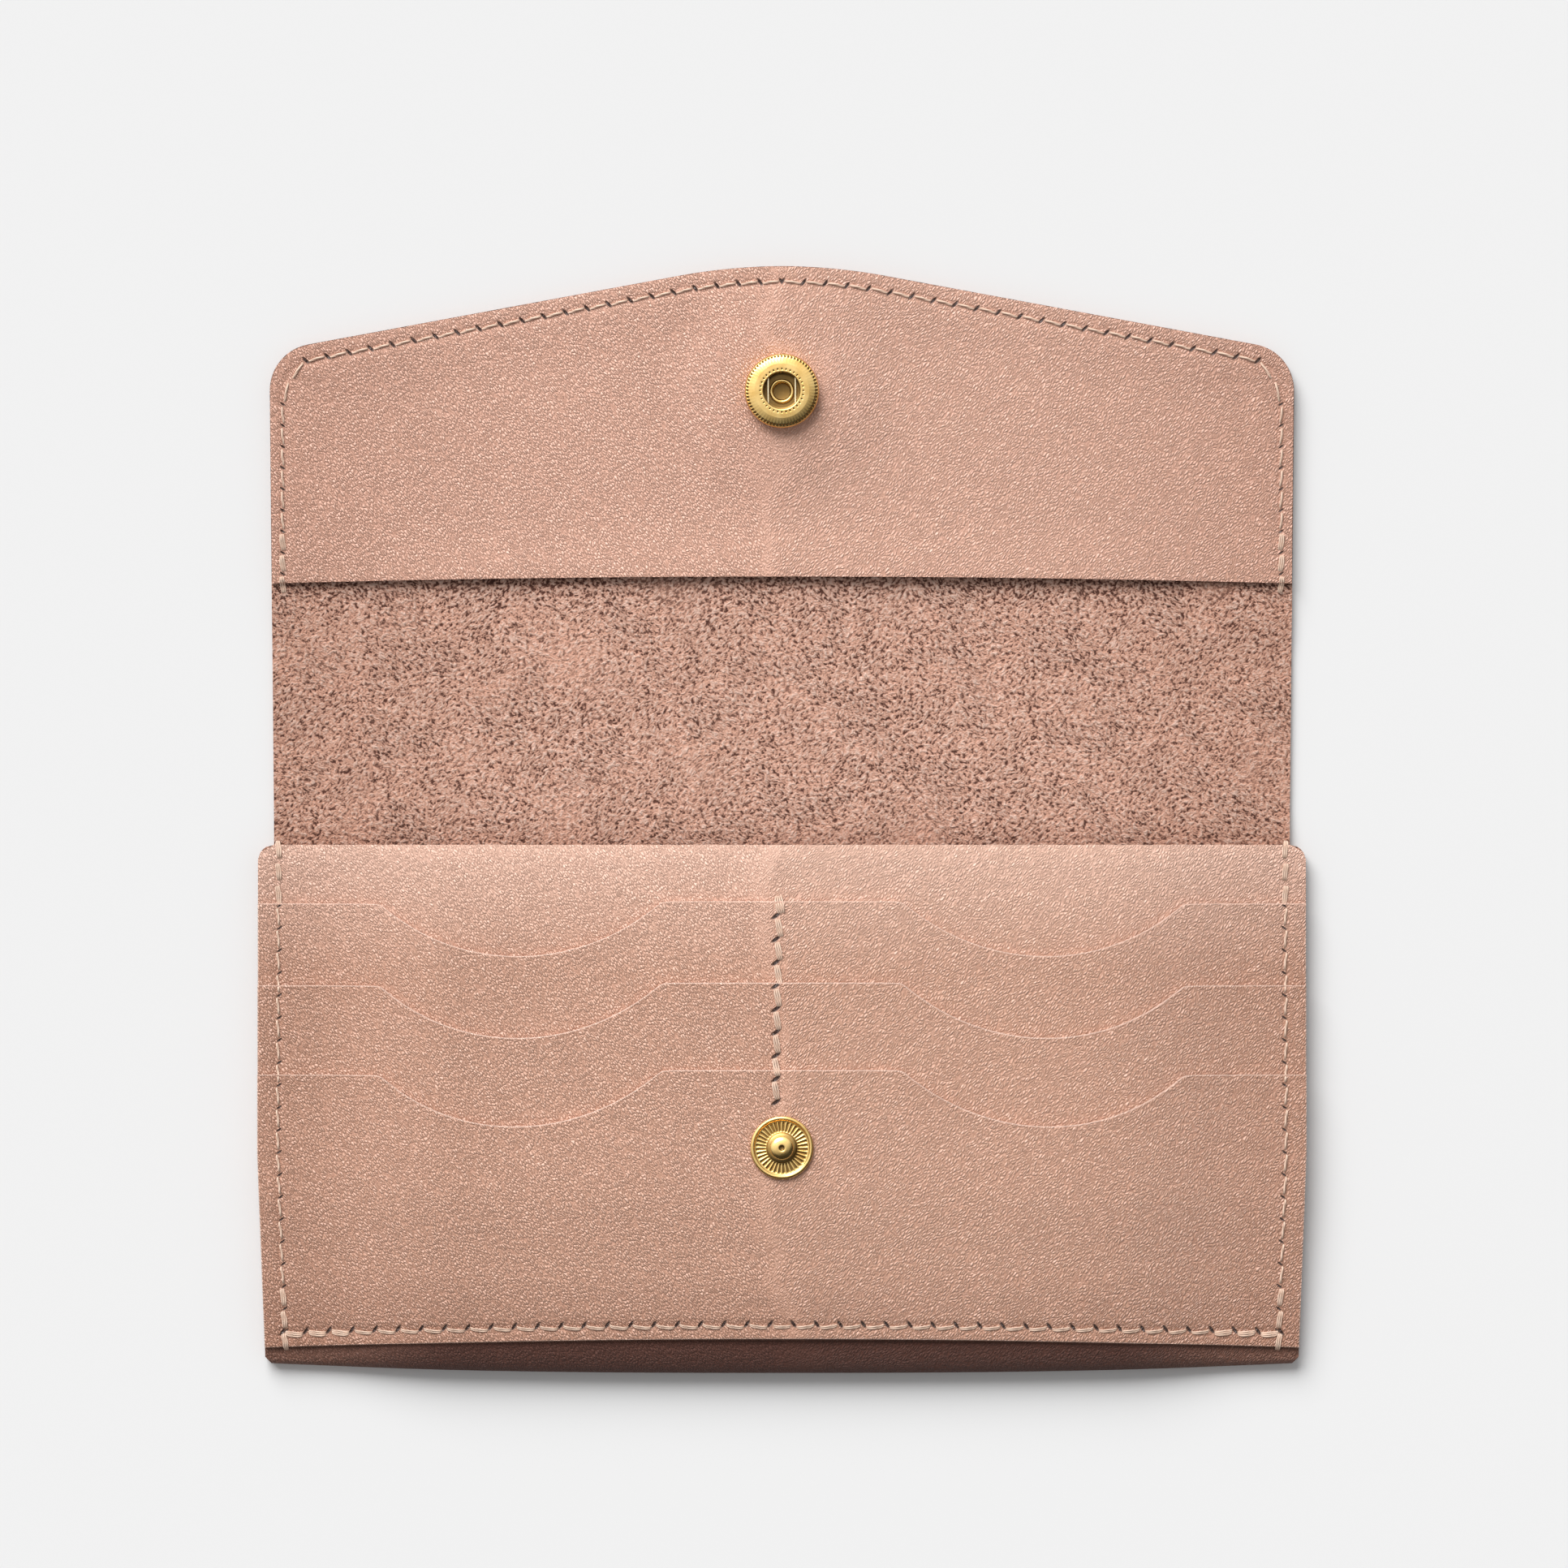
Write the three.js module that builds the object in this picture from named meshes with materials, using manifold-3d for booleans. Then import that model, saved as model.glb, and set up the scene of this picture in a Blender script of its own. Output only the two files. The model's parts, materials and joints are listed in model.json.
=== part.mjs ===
import * as THREE from 'three';
import { mergeVertices } from 'three/addons/utils/BufferGeometryUtils.js';
import Module from 'manifold-3d';

const wasm = await Module();
wasm.setup();

// A clutch wallet of thin cowhide, lying open on a table. One outer sheet runs from the flap's tip down
// the neck and the back, round the bottom fold and up the front. Three scalloped card pockets are sewn on
// the front, and a ring snap closes the flap. While it is built, Y is measured from the bottom fold towards
// the flap's tip, Z is measured from the table, and every size is in millimetres.

// Outline of the open wallet
const pouchWidth = 200;
const pouchHeight = 100.8;
const openLength = 211.3;
const bottomTaper = 1.5;
const taperTop = 42;
const shoulderRadius = 3;
const neckWidth = 194;
const flapWidth = 195.8;
const flapSlope = THREE.MathUtils.degToRad(10.5);
const flapCornerRadius = 9;
const flapTipRadius = 108;

// Sheets
const leatherThickness = 1.1;
const liningThickness = 0.9;
const pocketThickness = 0.8;
const sheetGap = 0.05;
const liningGap = 0.15;

// Pouch: its hollow, and how it closes at the side seams and the bottom fold
const pouchGap = 5.2;
const seamGap = 0.3;
const seamInset = 3.9;
const pinchWidth = 33;
const foldRoundness = 1.9;
const cornerLift = 1.9;
const cornerLiftPower = 2.6;

// Card pockets: how far each top edge lies below the pouch's mouth, and the scallops
const pocketDrop = { top: 10.7, middle: 26.2, front: 42.8 };
const pocketEndDrop = { top: 0.5, middle: 0.6, front: 1.0 };
const pocketDepth = 54;
const pocketHem = 6.7;
const scallopCentre = 49.7;
const scallopWidth = 53.8;
const scallopDepth = 10.2;
const scallopCornerRadius = 1.8;
const rampLength = 6;
const rampMargin = 0.6;

// Flap lining: the height of its free edge
const liningEdge = 151.4;

// Snap: the stud's place is measured from the pouch's mouth, the socket's from the flap's tip
const studDrop = 57.5;
const socketFromTip = 24;
const seatGap = 0.05;
const postClearance = 0.3;
const mouthClearance = 0.3;

// Stud: a rimmed plate pressed into radial grooves, and a hollow knob with a narrower neck
const studRadius = 6;
const studRimHeight = 0.7;
const studRimWidth = 0.95;
const studRimRound = 0.35;
const studPlateDrop = 0.25;
const studGrooves = 36;
const studGrooveDepth = 0.14;
const studGrooveMargin = 0.15;
const knobRadius = 2.25;
const knobHeight = 3.0;
const knobNeckInset = 0.4;
const knobCollarSpread = 0.55;
const knobCollarHeight = 0.4;
const knobRound = 1.1;
const knobPitRadius = 0.3;
const knobPitDepth = 0.2;
const knobLevels = { bore: 0.45, neckFoot: 0.5, neckTop: 0.6, bulgeFoot: 0.74, bulgeTop: 0.85, crown: 0.95 };

// Stud's post: a flanged rivet behind the front panel
const studPostRadius = 1.1;
const studPostReach = 0.35;
const studPostFlangeRadius = 4.5;
const studPostFlange = 0.5;
const studPostRound = 0.2;

// Socket: a hollow ring with a rolled lip, and the wire loop under the lip
const socketRadius = 7.1;
const socketHeight = 3.3;
const socketFoot = 1.0;
const socketSideFrom = 1.2;
const socketSideTo = 1.1;
const socketShoulder = 0.9;
const socketMouthRadius = 3.5;
const socketLipWidth = 0.35;
const socketFloor = 0.4;
const springWireRadius = 0.22;
const springSpacing = 5.2;
const springRun = 5.6;
const springDrop = 0.65;
const springPlay = 0.08;
const springEndPlay = 0.15;

// Cap: a low dome on the flap's outer side, whose hollow post is rolled over inside the socket
const capRadius = 6.25;
const capHeight = 1.35;
const capRim = 0.3;
const capFaceShare = 0.4;
const capPostRadius = 1.6;
const capPostBore = 1.15;
const capLipWidth = 0.6;
const capLipHeight = 0.36;

// Neck: the two lines where it bends when the flap closes
const hingeLift = 0.8;
const hingeCutGap = 0.3;

// Fineness of the curved sheets and turned parts
const foldSteps = 8;
const pinchSteps = 6;
const spanSteps = 8;
const domeSteps = 16;
const domeFlatSteps = 1.3;
const cornerSteps = 8;
const scallopSteps = 14;
const scallopCornerSteps = 4;
const hemSteps = 12;
const rampSteps = 4;
const turnSteps = 24;
const wireSides = 8;
const trimMargin = 2;
const trimHeight = 60;

const leather = new THREE.MeshStandardMaterial({ color: 0xcd9e87, roughness: 0.55, metalness: 0 });
const suede = new THREE.MeshStandardMaterial({ color: 0xc39886, roughness: 0.95, metalness: 0 });
const liningLeather = new THREE.MeshStandardMaterial({ color: 0xd6aa95, roughness: 0.55, metalness: 0 });
const brass = new THREE.MeshStandardMaterial({ color: 0xd2b26a, roughness: 0.25, metalness: 1 });
const wireBrass = new THREE.MeshStandardMaterial({ color: 0xcbb27c, roughness: 0.3, metalness: 1 });

// Helpers for solids

function solidOf(geometry) {
  const bare = geometry.clone();
  bare.deleteAttribute('normal');
  bare.deleteAttribute('uv');
  const merged = mergeVertices(bare, 1e-5);
  const corners = merged.index.array;
  const kept = [];
  for (let i = 0; i < corners.length; i += 3) {
    const [a, b, c] = [corners[i], corners[i + 1], corners[i + 2]];
    if (a !== b && b !== c && c !== a) {
      kept.push(a, b, c);
    }
  }
  return new wasm.Manifold(new wasm.Mesh({
    numProp: 3,
    vertProperties: new Float32Array(merged.attributes.position.array),
    triVerts: new Uint32Array(kept),
  }));
}

function geometryOf(solid) {
  const mesh = solid.getMesh();
  const geometry = new THREE.BufferGeometry();
  const places = new Float32Array(mesh.numVert * 3);
  for (let i = 0; i < mesh.numVert; i += 1) {
    for (let k = 0; k < 3; k += 1) {
      places[3 * i + k] = mesh.vertProperties[mesh.numProp * i + k];
    }
  }
  geometry.setAttribute('position', new THREE.BufferAttribute(places, 3));
  geometry.setIndex(new THREE.BufferAttribute(new Uint32Array(mesh.triVerts), 1));
  geometry.computeVertexNormals();
  return geometry;
}

function smooth(t) {
  const c = THREE.MathUtils.clamp(t, 0, 1);
  return c * c * (3 - 2 * c);
}

// Grid lines that pass through every stop, with the given number of steps between each two
function gridLines(stops, counts) {
  const lines = [stops[0]];
  counts.forEach((count, i) => {
    for (let k = 1; k <= count; k += 1) {
      lines.push(THREE.MathUtils.lerp(stops[i], stops[i + 1], k / count));
    }
  });
  return lines;
}

// A sheet on a grid of lines; place(x, station, face) gives each corner, with face 0 below and 1 above
function gridSheet(xLines, stations, place) {
  const nx = xLines.length - 1;
  const ny = stations.length - 1;
  const geometry = new THREE.BoxGeometry(1, 1, 1, nx, ny, 1);
  const position = geometry.attributes.position;
  for (let i = 0; i < position.count; i += 1) {
    const x = xLines[Math.round((position.getX(i) + 0.5) * nx)];
    const station = stations[Math.round((position.getY(i) + 0.5) * ny)];
    const face = position.getZ(i) > 0 ? 1 : 0;
    position.setXYZ(i, ...place(x, station, face));
  }
  return solidOf(geometry);
}

// The corners of an outline are [x, y, radius]; each one with a radius is rounded by a tangent arc
function roundedOutline(corners, arcSteps = cornerSteps) {
  const shape = new THREE.Shape();
  corners.forEach(([x, y, radius], i) => {
    const corner = new THREE.Vector2(x, y);
    if (!radius) {
      shape[i === 0 ? 'moveTo' : 'lineTo'](x, y);
      return;
    }
    const before = corners[(i + corners.length - 1) % corners.length];
    const after = corners[(i + 1) % corners.length];
    const back = new THREE.Vector2(before[0], before[1]).sub(corner).normalize();
    const ahead = new THREE.Vector2(after[0], after[1]).sub(corner).normalize();
    const halfAngle = Math.acos(THREE.MathUtils.clamp(back.dot(ahead), -1, 1)) / 2;
    const reach = radius / Math.tan(halfAngle);
    const middle = back.clone().add(ahead).normalize();
    const centre = middle.multiplyScalar(radius / Math.sin(halfAngle)).add(corner);
    const from = back.multiplyScalar(reach).add(corner).sub(centre).angle();
    const to = ahead.multiplyScalar(reach).add(corner).sub(centre).angle();
    const sweep = THREE.MathUtils.euclideanModulo(to - from + Math.PI, 2 * Math.PI) - Math.PI;
    for (let k = 0; k <= arcSteps; k += 1) {
      const angle = from + (sweep * k) / arcSteps;
      const px = centre.x + radius * Math.cos(angle);
      const py = centre.y + radius * Math.sin(angle);
      shape[i === 0 && k === 0 ? 'moveTo' : 'lineTo'](px, py);
    }
  });
  return shape;
}

// A tall prism over an outline, which trims the sheets as a knife cuts leather
function trimmer(shape) {
  const geometry = new THREE.ExtrudeGeometry(shape, { depth: trimHeight, bevelEnabled: false });
  geometry.translate(0, 0, -trimHeight / 2);
  return solidOf(geometry);
}

// A turned part: the profile is [radius, height], from the axis up the outside and back
function turned(profile, steps = turnSteps) {
  const geometry = new THREE.LatheGeometry(profile.map(([r, z]) => new THREE.Vector2(r, z)), steps);
  geometry.rotateX(Math.PI / 2);
  return geometry;
}

function drill(radius, x, y, zFrom) {
  const geometry = new THREE.CylinderGeometry(radius, radius, trimHeight, turnSteps);
  geometry.rotateX(Math.PI / 2);
  geometry.translate(x, y, zFrom + trimHeight / 2);
  return solidOf(geometry);
}

// Levels and lines that follow from the sizes

const halfPouch = pouchWidth / 2;
const halfNeck = neckWidth / 2;
const halfFlap = flapWidth / 2;
const pinchOuter = halfPouch - seamInset - leatherThickness;
const pinchInner = pinchOuter - pinchWidth;
const apexY = openLength + flapTipRadius * (1 / Math.cos(flapSlope) - 1);
const flapCornerY = apexY - halfFlap * Math.tan(flapSlope);
const socketY = openLength - socketFromTip;

const capSeat = capHeight + seatGap;
const liningSeat = leatherThickness + liningGap;
const socketSeat = capSeat + liningSeat + liningThickness + seatGap;
const socketMouth = socketSeat + socketHeight;

function pinch(x) {
  return smooth((pinchOuter - Math.abs(x)) / pinchWidth);
}

function pouchGapAt(x) {
  return seamGap + (pouchGap - seamGap) * pinch(x);
}

function frontTop(x) {
  return 2 * leatherThickness + pouchGapAt(x);
}

// How much the pockets below lift a sheet at height y: nothing below their bottom edges, all above them
const pocketNames = ['top', 'middle', 'front'];
const pocketTop = pocketNames.map((name) => pouchHeight - pocketDrop[name]);
const pocketBottom = pocketTop.map((top) => top - pocketDepth);

function rise(y, bottom) {
  return smooth((y - (bottom - rampMargin - rampLength)) / rampLength);
}

function layerLift(level, y) {
  let lift = sheetGap;
  for (let below = 0; below < level; below += 1) {
    lift += (pocketThickness + sheetGap) * rise(y, pocketBottom[below]);
  }
  return lift;
}

const studY = pouchHeight - studDrop;
const stackTop = frontTop(0) + layerLift(2, studY + studRadius) + pocketThickness;
const studSeat = stackTop + seatGap;
const closedMouth = studSeat + studRimHeight + mouthClearance;

// The flap turns over two lines as far apart as the closed wallet is thick there
const hingeZ = leatherThickness + hingeLift;
const neckSpan = socketMouth + closedMouth - 2 * hingeZ;
const foldLine = (socketY + studY) / 2;
const lowerHinge = foldLine - neckSpan / 2;
const upperHinge = foldLine + neckSpan / 2;

// Outline of the whole open wallet
function walletOutline() {
  const halfBottom = halfPouch - bottomTaper;
  const halfBelow = halfBottom - (bottomTaper * trimMargin) / taperTop;
  const right = [
    [halfBelow, -trimMargin, 0],
    [halfPouch, taperTop, 0],
    [halfPouch, pouchHeight, shoulderRadius],
    [halfNeck, pouchHeight, 0],
    [halfFlap, flapCornerY, flapCornerRadius],
  ];
  const left = right.map(([x, y, radius]) => [-x, y, radius]).reverse();
  return roundedOutline([...right, [0, apexY, flapTipRadius], ...left]);
}

const walletTrim = trimmer(walletOutline());

const pouchLines = gridLines(
  [-halfPouch - trimMargin, -pinchOuter, -pinchInner, pinchInner, pinchOuter, halfPouch + trimMargin],
  [1, pinchSteps, spanSteps, pinchSteps, 1],
);

// Pouch: back, bottom fold and front in one sheet

// The bottom fold is lifted a little towards its two corners
function foldStart(x) {
  return cornerLift * Math.abs(x / halfPouch) ** cornerLiftPower;
}

// A point of the folded sheet; station runs from 0 at the neck, round the fold, to foldSteps + 2
function foldedPoint(x, station, face) {
  const offset = (face - 0.5) * leatherThickness;
  const halfHeight = (pouchGapAt(x) + leatherThickness) / 2;
  const depth = halfHeight * THREE.MathUtils.lerp(1, foldRoundness, pinch(x));
  const midZ = leatherThickness / 2 + halfHeight;
  const foldY = foldStart(x) + leatherThickness / 2 + depth;
  if (station === 0) {
    return [x, lowerHinge - hingeCutGap / 2, leatherThickness / 2 - offset];
  }
  if (station === foldSteps + 2) {
    return [x, pouchHeight, midZ + halfHeight + offset];
  }
  const angle = (Math.PI * (station - 1)) / foldSteps;
  const normal = new THREE.Vector2(Math.sin(angle) / depth, Math.cos(angle) / halfHeight).normalize();
  const y = foldY - depth * Math.sin(angle) - offset * normal.x;
  const z = midZ - halfHeight * Math.cos(angle) - offset * normal.y;
  return [x, y, z];
}

function bodyLeather() {
  const stations = gridLines([0, foldSteps + 2], [foldSteps + 2]);
  const sheet = gridSheet(pouchLines, stations, foldedPoint).intersect(walletTrim);
  const hole = drill(studPostRadius + postClearance, 0, studY, leatherThickness + pouchGap / 2);
  return geometryOf(sheet.subtract(hole));
}

// Card pockets

function pocketOutline(level) {
  const name = pocketNames[level];
  const top = pocketTop[level];
  const endTop = top - pocketEndDrop[name];
  const halfChord = scallopWidth / 2;
  const radius = (halfChord ** 2 + scallopDepth ** 2) / (2 * scallopDepth);
  const halfSweep = Math.asin(halfChord / radius);
  const side = halfPouch + trimMargin;
  const outerScallop = [[side, endTop, 0], [scallopCentre + halfChord, endTop, scallopCornerRadius]];
  for (let k = 1; k < scallopSteps; k += 1) {
    const angle = halfSweep * (1 - (2 * k) / scallopSteps);
    const sag = radius * (Math.cos(angle) - Math.cos(halfSweep));
    const tilt = (endTop - top) * (1 - k / scallopSteps);
    outerScallop.push([scallopCentre + radius * Math.sin(angle), top + tilt - sag, 0]);
  }
  outerScallop.push([scallopCentre - halfChord, top, scallopCornerRadius]);
  const mirrored = outerScallop.map(([x, y, r]) => [-x, y, r]).reverse();
  const hem = [];
  for (let k = 0; k <= hemSteps; k += 1) {
    const x = THREE.MathUtils.lerp(-side, side, k / hemSteps);
    const frontHem = pocketHem - cornerLift * (x / halfPouch) ** 2;
    hem.push([x, name === 'front' ? frontHem : pocketBottom[level], 0]);
  }
  return roundedOutline([...hem, ...outerScallop, ...mirrored], scallopCornerSteps);
}

function cardPocket(level) {
  const isFront = pocketNames[level] === 'front';
  const ramps = pocketBottom.slice(0, level).flatMap((bottom) => (
    gridLines([bottom - rampMargin - rampLength, bottom - rampMargin], [rampSteps])));
  const lowest = isFront ? pocketHem - cornerLift - trimMargin : pocketBottom[level] - rampMargin / 2;
  const highest = pocketTop[level] + trimMargin;
  const yLines = [lowest, ...ramps.filter((y) => y > lowest && y < highest), highest].sort((a, b) => a - b);
  const place = (x, y, face) => [x, y, frontTop(x) + layerLift(level, y) + face * pocketThickness];
  const sheet = gridSheet(pouchLines, yLines, place);
  const cut = sheet.intersect(trimmer(pocketOutline(level))).intersect(walletTrim);
  return geometryOf(cut.subtract(drill(studPostRadius + postClearance, 0, studY, 0)));
}

// Flap: outer leather and lining, both raised over the snap's cap

function domeAt(x, y) {
  const flat = capRadius + domeFlatSteps * (socketFromTip * 2) / domeSteps;
  const distance = Math.hypot(x, y - socketY);
  return capSeat * (1 - smooth((distance - flat) / (socketFromTip - flat)));
}

function flapSheet(fromY, bottom, thickness) {
  const side = halfFlap + trimMargin;
  const xLines = gridLines([-side, -socketFromTip, socketFromTip, side], [1, domeSteps, 1]);
  const yStops = [fromY, socketY - socketFromTip, openLength, apexY + trimMargin];
  const yLines = gridLines(yStops, [1, domeSteps, 1]);
  const place = (x, y, face) => [x, y, domeAt(x, y) + bottom + face * thickness];
  const hole = drill(capPostRadius + postClearance, 0, socketY, 0);
  return geometryOf(gridSheet(xLines, yLines, place).intersect(walletTrim).subtract(hole));
}

function spineLeather() {
  const side = halfFlap + trimMargin;
  const stations = [lowerHinge + hingeCutGap / 2, upperHinge - hingeCutGap / 2];
  const place = (x, y, face) => [x, y, face * leatherThickness];
  return geometryOf(gridSheet([-side, side], stations, place).intersect(walletTrim));
}

// Snap parts, each turned about its own axis with height 0 at its seat

function stud() {
  const bore = studPostRadius + postClearance;
  const plate = studRimHeight - studPlateDrop;
  const neck = knobRadius - knobNeckInset;
  const collar = knobRadius + knobCollarSpread;
  const rimInside = studRadius - studRimWidth;
  const level = (name) => knobHeight * knobLevels[name];
  const profile = [
    [0, level('bore')],
    [bore, level('bore')],
    [bore, 0],
    [studRadius - studRimRound, 0],
    [studRadius, studRimRound],
    [studRadius - studRimRound / 3, studRimHeight - studRimRound / 3],
    [studRadius - studRimRound, studRimHeight],
    [studRadius - 2 * studRimRound, studRimHeight - studRimRound / 7],
    [rimInside, plate],
    [rimInside - studGrooveMargin, plate],
    [collar + studGrooveMargin + studPlateDrop / 2, plate],
    [collar + studPlateDrop / 2, plate],
    [collar, plate + knobCollarHeight],
    [neck + knobNeckInset, plate + knobCollarHeight * 1.5],
    [neck, level('neckFoot')],
    [neck, level('neckTop')],
    [knobRadius, level('bulgeFoot')],
    [knobRadius, level('bulgeTop')],
    [knobRadius - knobRound / 3, level('crown')],
    [knobRadius - knobRound, knobHeight],
    [knobPitRadius + knobPitDepth, knobHeight],
    [knobPitRadius, knobHeight - knobPitDepth],
    [0, knobHeight - knobPitDepth],
  ];
  const groovedPoints = [9, 10];
  const steps = studGrooves * 2;
  const geometry = turned(profile, steps);
  const position = geometry.attributes.position;
  for (let column = 1; column < steps; column += 2) {
    groovedPoints.forEach((point) => {
      const i = column * profile.length + point;
      position.setZ(i, position.getZ(i) - studGrooveDepth);
    });
  }
  return geometry;
}

function studPost(flangeTop, shankTop) {
  const under = flangeTop - studPostFlange;
  return turned([
    [0, under],
    [studPostFlangeRadius - studPostRound, under],
    [studPostFlangeRadius, under + studPostRound],
    [studPostFlangeRadius, flangeTop],
    [studPostRadius, flangeTop],
    [studPostRadius, shankTop],
    [0, shankTop],
  ]);
}

// The spring lies just under the socket's lip, in a groove inside the ring
const springLevel = socketHeight - springDrop;
const springGroove = springRun / 2 + springSpacing / 2 + springWireRadius + springEndPlay;

function socket() {
  const hole = capPostRadius + postClearance;
  const grooveTop = springLevel + springWireRadius + springPlay;
  const grooveFloor = springLevel - springWireRadius - springPlay;
  return turned([
    [hole, 0],
    [socketRadius - socketFoot, 0],
    [socketRadius - socketFoot / 5, socketFoot / 2],
    [socketRadius, socketSideFrom],
    [socketRadius, socketHeight - socketSideTo],
    [socketRadius - socketShoulder / 3, socketHeight - socketShoulder / 2],
    [socketRadius - socketShoulder, socketHeight - socketShoulder / 9],
    [socketRadius - 2 * socketShoulder, socketHeight],
    [socketMouthRadius + socketLipWidth, socketHeight],
    [socketMouthRadius + springPlay, socketHeight - springPlay],
    [socketMouthRadius, grooveTop],
    [springGroove, grooveTop],
    [springGroove, grooveFloor],
    [socketMouthRadius + springPlay, grooveFloor - socketFloor],
    [socketMouthRadius, socketFloor],
    [hole, socketFloor],
    [hole, 0],
  ]);
}

// The wire loop is a ring pulled apart into two straight runs joined by round ends
function spring() {
  const geometry = new THREE.TorusGeometry(springSpacing / 2, springWireRadius, wireSides, turnSteps);
  geometry.rotateZ(Math.PI / turnSteps);
  const position = geometry.attributes.position;
  for (let i = 0; i < position.count; i += 1) {
    const y = position.getY(i);
    position.setY(i, y + (Math.sign(y) * springRun) / 2);
  }
  return geometry;
}

function cap(postTop) {
  const lipRadius = capPostRadius + capLipWidth;
  const boreFloor = capHeight + leatherThickness / 2;
  const faceRadius = capRadius * capFaceShare;
  return turned([
    [0, 0],
    [faceRadius, 0],
    [2 * faceRadius, capRim * 0.8],
    [capRadius - capRim / 2, capHeight - 2 * capRim],
    [capRadius, capHeight - capRim],
    [capRadius - capRim * 0.7, capHeight],
    [capPostRadius, capHeight],
    [capPostRadius, postTop],
    [lipRadius, postTop + capLipHeight * 0.1],
    [lipRadius, postTop + capLipHeight * 0.6],
    [lipRadius - capLipWidth / 2, postTop + capLipHeight],
    [capPostBore + capLipWidth / 2, postTop + capLipHeight],
    [capPostBore, postTop + capLipHeight * 0.15],
    [capPostBore, boreFloor],
    [0, boreFloor],
  ]);
}

// Assembly

const wallet = new THREE.Group();

function add(name, geometry, material, x = 0, y = 0, z = 0) {
  const mesh = new THREE.Mesh(geometry, material);
  mesh.name = name;
  mesh.position.set(x, y - openLength / 2, z);
  wallet.add(mesh);
}

add('body_leather', bodyLeather(), leather);
add('spine_leather', spineLeather(), suede);
add('flap_leather', flapSheet(upperHinge + hingeCutGap / 2, 0, leatherThickness), suede);
add('flap_lining', flapSheet(liningEdge, liningSeat, liningThickness), liningLeather);
pocketNames.forEach((name, level) => add(`card_pocket_${name}`, cardPocket(level), leather));
add('snap_stud', stud(), brass, 0, studY, studSeat);
const flangeTop = frontTop(0) - leatherThickness - seatGap;
add('snap_stud_post', studPost(flangeTop, studSeat + knobHeight * studPostReach), brass, 0, studY, 0);
add('snap_socket', socket(), brass, 0, socketY, socketSeat);
add('snap_spring', spring(), wireBrass, 0, socketY, socketSeat + springLevel);
add('snap_cap', cap(socketSeat + socketFloor + seatGap), brass, 0, socketY, 0);

export default wallet;
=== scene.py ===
# %% [markdown]
# # A clutch wallet of thin cowhide
# The wallet lies open on a pale table, seen from straight above. Its outer leather is one sheet that
# runs from the flap's tip down the neck and the back, round the bottom fold and up the front. Three
# scalloped card pockets, a flap lining, sewn seams and a brass ring snap complete it. Everything is in
# metres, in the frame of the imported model, which is loaded first and never moved.

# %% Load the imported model
import json
import math

import bpy
import numpy as np
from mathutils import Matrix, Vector


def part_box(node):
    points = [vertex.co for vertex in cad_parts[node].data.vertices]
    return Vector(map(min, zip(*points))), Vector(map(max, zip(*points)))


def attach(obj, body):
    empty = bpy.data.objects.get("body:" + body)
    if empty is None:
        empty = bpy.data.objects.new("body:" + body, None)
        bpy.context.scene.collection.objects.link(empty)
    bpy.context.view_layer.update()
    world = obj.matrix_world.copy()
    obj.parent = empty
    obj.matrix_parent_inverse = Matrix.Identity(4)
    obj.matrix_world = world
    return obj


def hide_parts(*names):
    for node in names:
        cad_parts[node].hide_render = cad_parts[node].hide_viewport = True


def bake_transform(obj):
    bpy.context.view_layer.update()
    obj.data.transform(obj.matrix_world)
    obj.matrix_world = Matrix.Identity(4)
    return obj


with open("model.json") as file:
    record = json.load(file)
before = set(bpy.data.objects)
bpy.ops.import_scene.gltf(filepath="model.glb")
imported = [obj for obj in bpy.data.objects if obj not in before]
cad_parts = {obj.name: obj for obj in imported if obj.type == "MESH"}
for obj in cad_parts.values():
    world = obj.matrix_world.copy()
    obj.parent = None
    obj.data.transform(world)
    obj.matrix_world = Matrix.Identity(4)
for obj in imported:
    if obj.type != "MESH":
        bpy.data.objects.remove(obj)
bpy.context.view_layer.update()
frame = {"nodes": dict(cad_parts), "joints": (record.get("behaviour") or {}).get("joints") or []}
print("nodes:", sorted(frame["nodes"]))

# %% [markdown]
# ## Sizes
# The frame gives the places: the bottom fold, the flap's tip, the widths and the seats of the snap parts.
# The thin sheets and the scallops keep their own named sizes, the same ones that the solids have.

# %% Sizes
MM = 0.001
FOLD_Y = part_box("body_leather")[0].y
TIP_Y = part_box("flap_leather")[1].y
HALF_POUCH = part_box("body_leather")[1].x
STUD_Y = (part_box("snap_stud")[0].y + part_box("snap_stud")[1].y) / 2
SOCKET_Y = (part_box("snap_socket")[0].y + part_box("snap_socket")[1].y) / 2
STUD_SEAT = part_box("snap_stud")[0].z
SOCKET_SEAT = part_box("snap_socket")[0].z
LOWER_BEND, UPPER_BEND = (joint["pos_m"] for joint in frame["joints"])
NECK_MIDDLE = (LOWER_BEND[1] + UPPER_BEND[1]) / 2

MOUTH_Y = FOLD_Y + 100.8 * MM
TAPER_TOP_Y = FOLD_Y + 42 * MM
HALF_NECK = 97.0 * MM
HALF_FLAP = 97.9 * MM
BOTTOM_TAPER = 1.5 * MM
SHOULDER_RADIUS = 3 * MM
FLAP_SLOPE = math.radians(10.5)
CORNER_RADIUS = 9 * MM
TIP_RADIUS = 108 * MM
LEATHER = 1.1 * MM
LINING = 0.9 * MM
POCKET = 0.8 * MM
SHEET_GAP = 0.05 * MM
LINING_GAP = 0.15 * MM
POUCH_GAP = 5.2 * MM
SEAM_GAP = 0.3 * MM
SEAM_INSET = 3.9 * MM
PINCH_WIDTH = 33 * MM
PINCH_OUTER = HALF_POUCH - SEAM_INSET - LEATHER
FOLD_ROUNDNESS = 1.9
CORNER_LIFT = 1.9 * MM
CORNER_CUT = 1.2 * MM
MOUTH_DROOP = 2.3 * MM
HEM_DROOP = 1.2 * MM
HEM_Y = FOLD_Y + 6.7 * MM
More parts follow.
